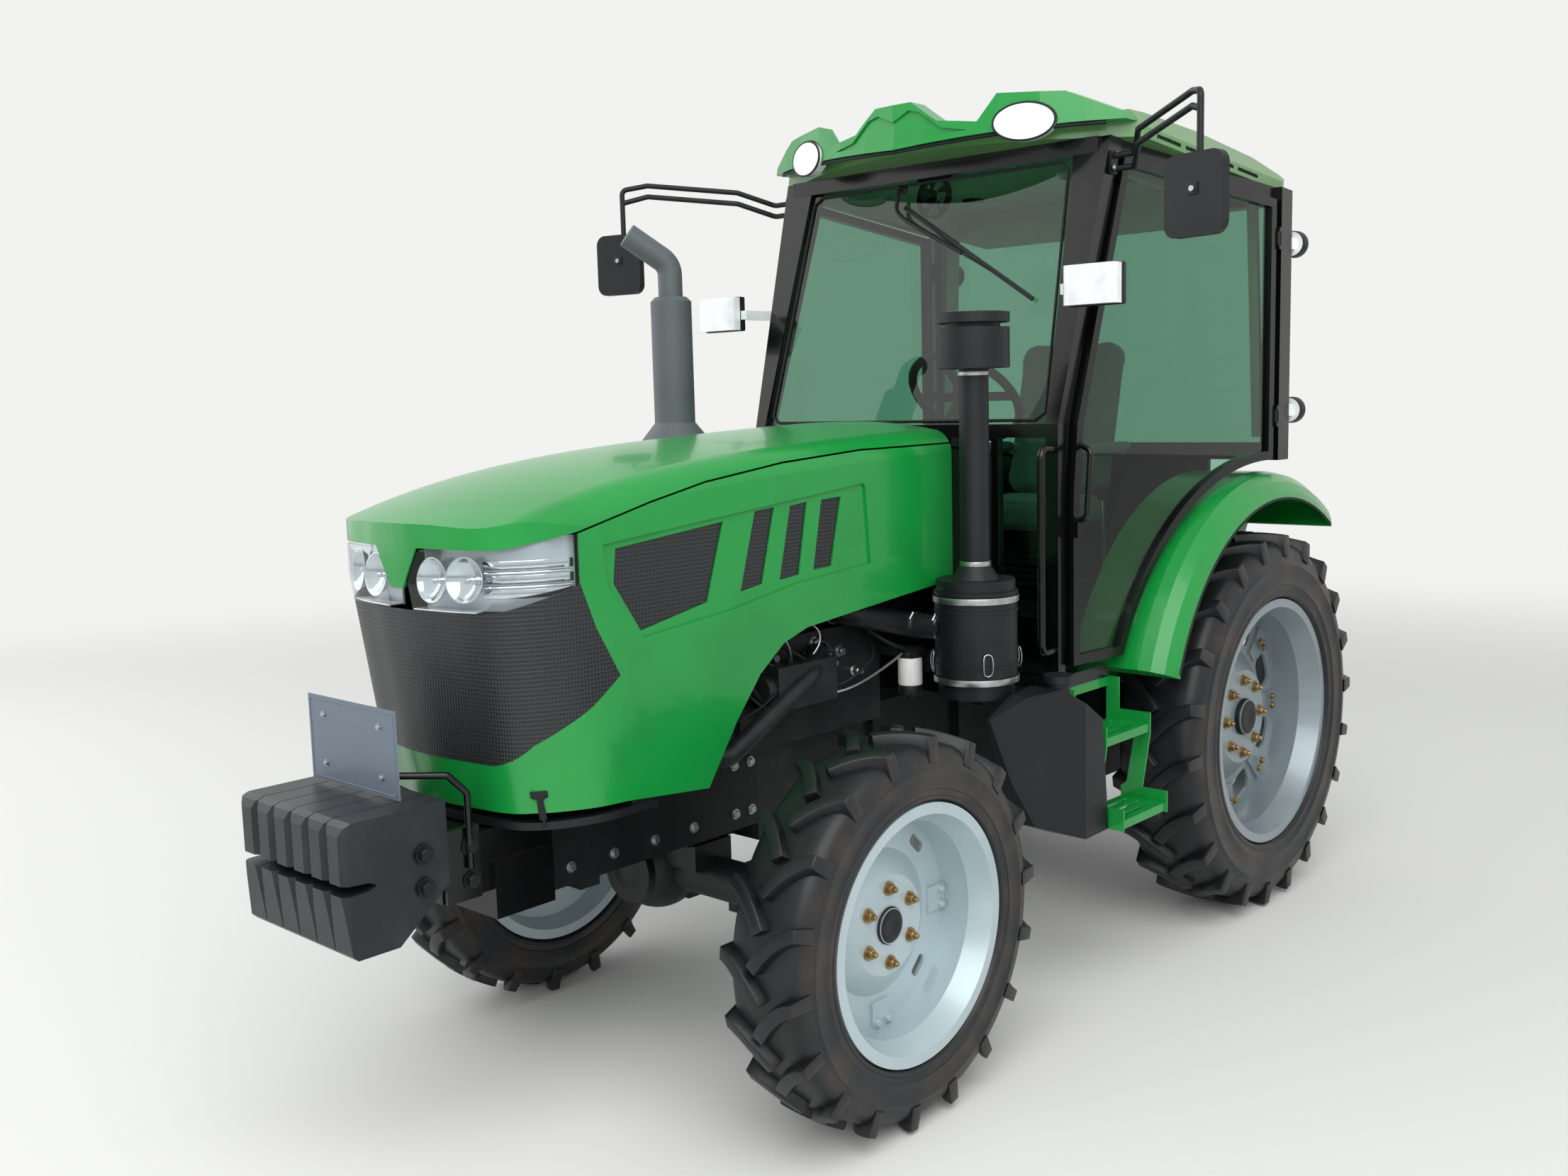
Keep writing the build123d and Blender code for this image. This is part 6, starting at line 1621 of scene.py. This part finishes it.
@dataclass
class EngineBay(Assembly):
    """The small parts that show under the bonnet: the filter's white can, clamps, lines, bands and pipes."""

    def build(self) -> None:
        """Makes the parts."""
        self._filter()
        self._hoses()
        self._canister()
        self._pipes()

    def _filter(self) -> None:
        """Makes the fuel filter: the white can, the bowl under it and the head on it."""
        foot = at(300, 620, 940)
        can = lathed("filter_can", UP, foot, [(30, 33.2), (30, 35), (34, 36), (104, 36), (110, 34), (113, 30),
                                              (113, 0.0), (111, 0.0), (111, 33.2)], 48, 0.5, True)
        self.fit(can, Finish.WHITE)
        bowl = lathed("filter_bowl", UP, foot, [(-10, 0), (-10, 12), (-4, 15), (0, 33), (3, 35.5), (30, 35.5),
                                                (30, 0)], 48, 0.8)
        head = lathed("filter_head", UP, foot, [(113, 0), (113, 30), (117, 37), (129, 37), (133, 30), (133, 12),
                                                (141, 10), (141, 0)], 48, 0.8)
        self.fit(joined("filter_bowl", [bowl, head]), Finish.CAST_BLACK)

    def _hoses(self) -> None:
        """Puts worm clamps on the hoses, and runs black lines and wires along both sides of the engine."""
        clamps = []
        for centre, aim, radius in ((at(412, 619, 1150), LEFT, 36.6), (at(336, 611, 1150), LEFT, 36.6),
                                    (at(206, 388, 1210), LEFT, 36.6),
                                    (at(258, -418, 953), Vector((0.15, 1, -0.18)), 26.6),
                                    (at(215, 318, 1110), Vector((0.5, -0.75, -0.3)), 26.6)):
            band = lathed("clamp_band", aim, centre,
                          [(-6, radius), (-6, radius + 1.6), (6, radius + 1.6), (6, radius)], 40, 0.3, True)
            beside = aim.normalized().cross(aim.orthogonal().normalized())
            screw = lathed("clamp_screw", aim.orthogonal(), centre + beside * ((radius + 5) * MILLIMETRE),
                           [(-11, 0), (-11, 4.5), (9, 4.5), (9, 6), (14, 6), (14, 0)], 16, 0.3)
            clamps += [band, screw]
        self.fit(joined("hose_clamps", clamps), Finish.STEEL)
        lines = []
        for side in Side:
            hand = side.value
            for path in (((206, -250, 1180), (280, -300, 1130), (296, -262, 1010), (262, -170, 905), (206, -120, 880)),
                         ((206, -60, 1150), (250, -70, 1120), (262, 10, 1030), (250, 80, 960), (206, 110, 940)),
                         ((206, 90, 1170), (240, 130, 1150), (262, 240, 1076), (252, 330, 1010), (206, 380, 960)),
                         ((206, 470, 1180), (262, 520, 1120), (296, 560, 1090), (300, 600, 1078)),
                         ((206, 250, 1110), (232, 300, 1060), (228, 360, 1020), (206, 400, 1010))):
                lines.append(tube("engine_line", [at(hand * x, y, z) for x, y, z in path], 6.5, 3, 8))
            for path in (((212, 180, 1180), (262, 150, 1100), (284, 60, 1030), (268, -40, 980), (214, -90, 960)),
                         ((214, -300, 1230), (300, -340, 1160), (312, -300, 1040), (280, -250, 930), (200, -210, 882)),
                         ((214, 520, 1130), (300, 470, 1090), (318, 380, 1050), (290, 300, 1010), (214, 270, 990)),
                         ((214, -20, 1060), (282, 0, 1000), (300, 90, 950), (284, 190, 920), (214, 240, 905))):
                lines.append(tube("engine_wire", [at(hand * x, y, z) for x, y, z in path], 4.0, 3, 8))
        self.fit(joined("engine_lines", lines), Finish.RUBBER)

    def _canister(self) -> None:
        """Puts the bands, spring clips and dust valve on the air cleaner, and two bands on its stack."""
        bands = []
        for level in (1004.0, 1236.0):
            bands.append(lathed("canister_band", UP, at(*CANISTER, level),
                                [(-9, 121), (-9, 123.2), (9, 123.2), (9, 121)], 72, 0.4, True))
        for turn in (-40, 50, 140, 230):
            a = math.radians(turn)
            out = Vector((math.cos(a), math.sin(a), 0.0))
            side = Vector((-math.sin(a), math.cos(a), 0.0))
            middle = at(*CANISTER, 1058) + out * 0.1265
            loop = [middle + side * 0.012 + UP * 0.030, middle + side * 0.014 + out * 0.006,
                    middle + side * 0.012 - UP * 0.032, middle - side * 0.012 - UP * 0.032,
                    middle - side * 0.014 + out * 0.006, middle - side * 0.012 + UP * 0.030]
            bands.append(tube("canister_clip", loop, 1.8, 3, 6, True))
        self.fit(joined("canister_bands", bands), Finish.STEEL)
        valve = lathed("dust_valve", UP, at(*CANISTER, 952),
                       [(-34, 0), (-36, 10), (-30, 15), (-14, 15), (-6, 21), (1, 21), (1, 0)], 40, 1.0)
        self.fit(valve, Finish.RUBBER)
        ring = [lathed("stack_band", UP, at(*CANISTER, level),
                       [(-half, 42.4), (-half, radius), (half, radius), (half, 42.4)], 56, 0.4, True)
                for level, half, radius in ((1334, 7, 44.6), (1872, 6, 45.4))]
        self.fit(joined("stack_bands", ring), Finish.STEEL)

    def _pipes(self) -> None:
        """Runs bare steel injector and fuel pipes along the engine's left side."""
        pipes = []
        for index, y in enumerate((-200, -50, 100, 250)):
            pipes.append(tube("injector_pipe", [at(212, y, 1192), at(246, y + 14, 1196), at(262, y + 60, 1130),
                                                at(238, 120 + index * 22, 1070), at(214, 150 + index * 22, 1046)],
                              3.2, 4, 8))
        pipes.append(tube("fuel_pipe", [at(214, 240, 1000), at(262, 300, 980), at(280, 440, 1000), at(292, 560, 1052),
                                        at(298, 596, 1070)], 4.0, 4, 10))
        for y, z in ((-150, 1110), (-20, 1096), (130, 1110), (300, 1130), (410, 1090)):
            pipes.append(hexagon_head("pipe_union", at(200, y, z), LEFT, 26.0, 22.0))
            pipes.append(lathed("sender", LEFT, at(200, y + 62, z - 66),
                                [(0, 0), (0, 15), (8, 15), (10, 10), (26, 10), (28, 7), (40, 7), (40, 0)], 24, 0.6))
        self.fit(joined("fuel_pipes", pipes), Finish.STEEL)


@dataclass
class Seals(Assembly):
    """Rubber edges: the windscreen's gasket and the fenders' beads."""

    bead_x: float = 787.0
    bead_radius: float = 776.5
    bead_start: float = 58.0
    bead_sweep: float = 101.0
    bead_steps: int = 27

    def build(self) -> None:
        """Makes the seals."""
        corners = [screen_place(x, z, 2) for x, z in ((-548, 1733), (548, 1733), (505, 2500), (-505, 2500))]
        beads = [tube("screen_gasket", cornered(corners, 0.03), 5.0, 2, 1, True)]
        for side in Side:
            outer = []
            for step in range(self.bead_steps + 1):
                turn = math.radians(self.bead_start + self.bead_sweep * step / self.bead_steps)
                outer.append(at(side.value * self.bead_x, REAR_AXLE_Y + self.bead_radius * math.cos(turn),
                                REAR_AXLE_Z + self.bead_radius * math.sin(turn)))
            beads.append(tube(f"fender_bead_{side.word}", outer, 4.2, 3, 3))
        self.fit(joined("rubber_beads", beads), Finish.RUBBER)


@dataclass
class Fasteners(Assembly):
    """The bolt heads that show on both sides of the bolster."""

    def build(self) -> None:
        """Makes the bolts."""
        heads = []
        for side in Side:
            for y in (-560, -420, -280, -140, 20, 84):
                for z in (686, 822):
                    heads.append(hexagon_head("bolster_bolt", at(side.value * 150.2, y, z), side.out, 22.0, 11.0))
        self.fit(joined("frame_bolts", heads), Finish.STEEL)


@dataclass
class Studio:
    """The photograph's camera, a pale floor and plain soft light."""

    floor_size: float = 60.0
    floor_colour: str = "#e9e9e6"
    backdrop: str = "#f2f2f0"
    sky: str = "#f4f6f8"
    key_power: float = 620.0
    fill_power: float = 160.0
    world_strength: float = 0.62
    floor_clear: Flat = (4.5, 11.0)

    def build(self) -> None:
        """Sets up the view settings, world, floor, lamps and camera."""
        bpy.context.scene.view_settings.view_transform = "Standard"
        self._world()
        self._floor()
        self._lamp("key_lamp", (4.5, -4.5, 6.5), 8.0, self.key_power)
        self._lamp("fill_lamp", (-6.0, -3.0, 4.0), 7.0, self.fill_power)
        self._camera()

    def _world(self) -> None:
        """Lights the scene evenly and shows the camera a pale background."""
        world = bpy.data.worlds.new("studio")
        bpy.context.scene.world = world
        world.use_nodes = True
        tree = world.node_tree
        tree.nodes.clear()
        path = add_node(tree, "ShaderNodeLightPath")
        light = add_node(tree, "ShaderNodeBackground", {"Color": linear(self.sky), "Strength": self.world_strength})
        shown = add_node(tree, "ShaderNodeBackground", {"Color": linear(self.backdrop), "Strength": 1.0})
        seen = path.outputs["Is Camera Ray"]
        for ray in ("Is Glossy Ray", "Is Transmission Ray"):
            seen = add_node(tree, "ShaderNodeMath", {"operation": "MAXIMUM"},
                            {0: seen, 1: path.outputs[ray]}).outputs["Value"]
        mix = add_node(tree, "ShaderNodeMixShader",
                       links={0: seen, 1: light.outputs["Background"], 2: shown.outputs["Background"]})
        add_node(tree, "ShaderNodeOutputWorld", links={"Surface": mix.outputs["Shader"]})

    def _floor(self) -> None:
        """Lays the pale floor."""
        bpy.ops.object.select_all(action="DESELECT")
        bpy.ops.mesh.primitive_plane_add(size=self.floor_size)
        floor = bpy.context.object
        floor.name = "studio_floor"
        material, tree, place = blank_material("floor_paint")
        shader = add_node(tree, "ShaderNodeBsdfPrincipled", {"Roughness": 0.8, "Base Color": linear(self.floor_colour)})
        far = add_node(tree, "ShaderNodeEmission", {"Color": linear(self.backdrop), "Strength": 1.0})
        reach = add_node(tree, "ShaderNodeVectorMath", {"operation": "LENGTH"}, {"Vector": place})
        fade = add_node(tree, "ShaderNodeMapRange",
                        {"interpolation_type": "SMOOTHSTEP", "From Min": self.floor_clear[0],
                         "From Max": self.floor_clear[1]}, {"Value": reach.outputs["Value"]})
        ray = add_node(tree, "ShaderNodeLightPath").outputs["Is Camera Ray"]
        seen = add_node(tree, "ShaderNodeMath", {"operation": "MULTIPLY"}, {0: fade.outputs["Result"], 1: ray})
        mix = add_node(tree, "ShaderNodeMixShader",
                       links={0: seen.outputs["Value"], 1: shader.outputs["BSDF"], 2: far.outputs["Emission"]})
        add_node(tree, "ShaderNodeOutputMaterial", links={"Surface": mix.outputs["Shader"]})
        floor.data.materials.append(material)

    def _lamp(self, name: str, place: Point, size: float, power: float) -> None:
        """Hangs one soft square lamp that looks at the cab.

        Args:
            name: The lamp's name.
            place: Where it hangs.
            size: Its side.
            power: Its power in watts.
        """
        light = bpy.data.lights.new(name, "AREA")
        light.shape = "SQUARE"
        light.size = size
        light.energy = power
        lamp = bpy.data.objects.new(name, light)
        bpy.context.scene.collection.objects.link(lamp)
        aim = UP - Vector(place)
        lamp.matrix_world = Matrix.Translation(place) @ aim.to_track_quat("-Z", "Y").to_matrix().to_4x4()

    def _camera(self) -> None:
        """Places the solved camera."""
        yaw, pitch, roll = (math.radians(v) for v in (CAMERA_YAW, CAMERA_PITCH, CAMERA_ROLL))
        ahead = Vector((-math.sin(yaw) * math.cos(pitch), math.cos(yaw) * math.cos(pitch), -math.sin(pitch)))
        right = Vector((math.cos(yaw), math.sin(yaw), 0.0))
        up = right.cross(ahead)
        rolled_right = right * math.cos(roll) + up * math.sin(roll)
        rolled_up = up * math.cos(roll) - right * math.sin(roll)
        data = bpy.data.cameras.new("photo_camera")
        data.lens = CAMERA_LENS
        data.sensor_width = SENSOR_WIDTH
        camera = bpy.data.objects.new("photo_camera", data)
        bpy.context.scene.collection.objects.link(camera)
        turn = Matrix((rolled_right, rolled_up, -ahead)).transposed().to_4x4()
        camera.matrix_world = Matrix.Translation(CAMERA_PLACE) @ turn
        bpy.context.scene.camera = camera


def tyres_and_wheels(shop: Paintshop) -> None:
    """Makes the four wheels' tyres and fittings.

    Args:
        shop: The paintshop.
    """
    for side in Side:
        front = f"front_wheel_{side.word}"
        rear = f"rear_wheel_{side.word}"
        Tyre(shop, f"front_tread_{side.word}", front, side, axle_x=700.0, axle_y=0.0, radius=FRONT_AXLE_Z,
             width=236.0, seat_radius=304.8, bead_x=95.2, flange_radius=327.5, lugs=18).build()
        Tyre(shop, f"rear_tread_{side.word}", rear, side, axle_x=640.0, axle_y=REAR_AXLE_Y, radius=REAR_AXLE_Z,
             width=300.0, seat_radius=404.0, bead_x=118.7, flange_radius=426.7, lugs=22, lug_sweep=118.0,
             lug_top=38.0, lug_foot=54.0).build()
        WheelFittings(shop, front, side, face_x=700.0, axle_y=0.0, axle_z=FRONT_AXLE_Z, nuts=6, nut_circle=96.0,
                      nut_width=27.0, cap_radius=45.0, cap_reach=9.0, brackets=4, bracket_half=21.0,
                      bracket_circle=256.0, bracket_x=670.0, bolt_finish=Finish.WHEEL_SILVER).build()
        WheelFittings(shop, rear, side, face_x=654.0, axle_y=REAR_AXLE_Y, axle_z=REAR_AXLE_Z, nuts=8,
                      nut_circle=130.0, nut_width=30.0, cap_radius=62.0, cap_reach=22.0, brackets=8,
                      bracket_half=17.0, bracket_circle=316.0, bracket_x=618.0).build()


def main() -> None:
    """Loads the frame, dresses it and adds the pieces that the CAD part leaves out."""
    logging.basicConfig(level=logging.INFO, format="%(name)s: %(message)s")
    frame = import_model()
    shop = Paintshop()
    shop.coat_nodes(frame["nodes"])
    tyres_and_wheels(shop)
    for side in Side:
        Headlamp(shop, side).build()
    for assembly in (NoseTrim, DriverSeat, CabLining, DashDetail, RoofLamps, RoofTrim, MirrorFittings, EngineBay,
                     Seals, Fasteners):
        assembly(shop).build()
        LOG.info("built %s", assembly.__name__)
    Studio().build()


if __name__ == "__main__":
    main()
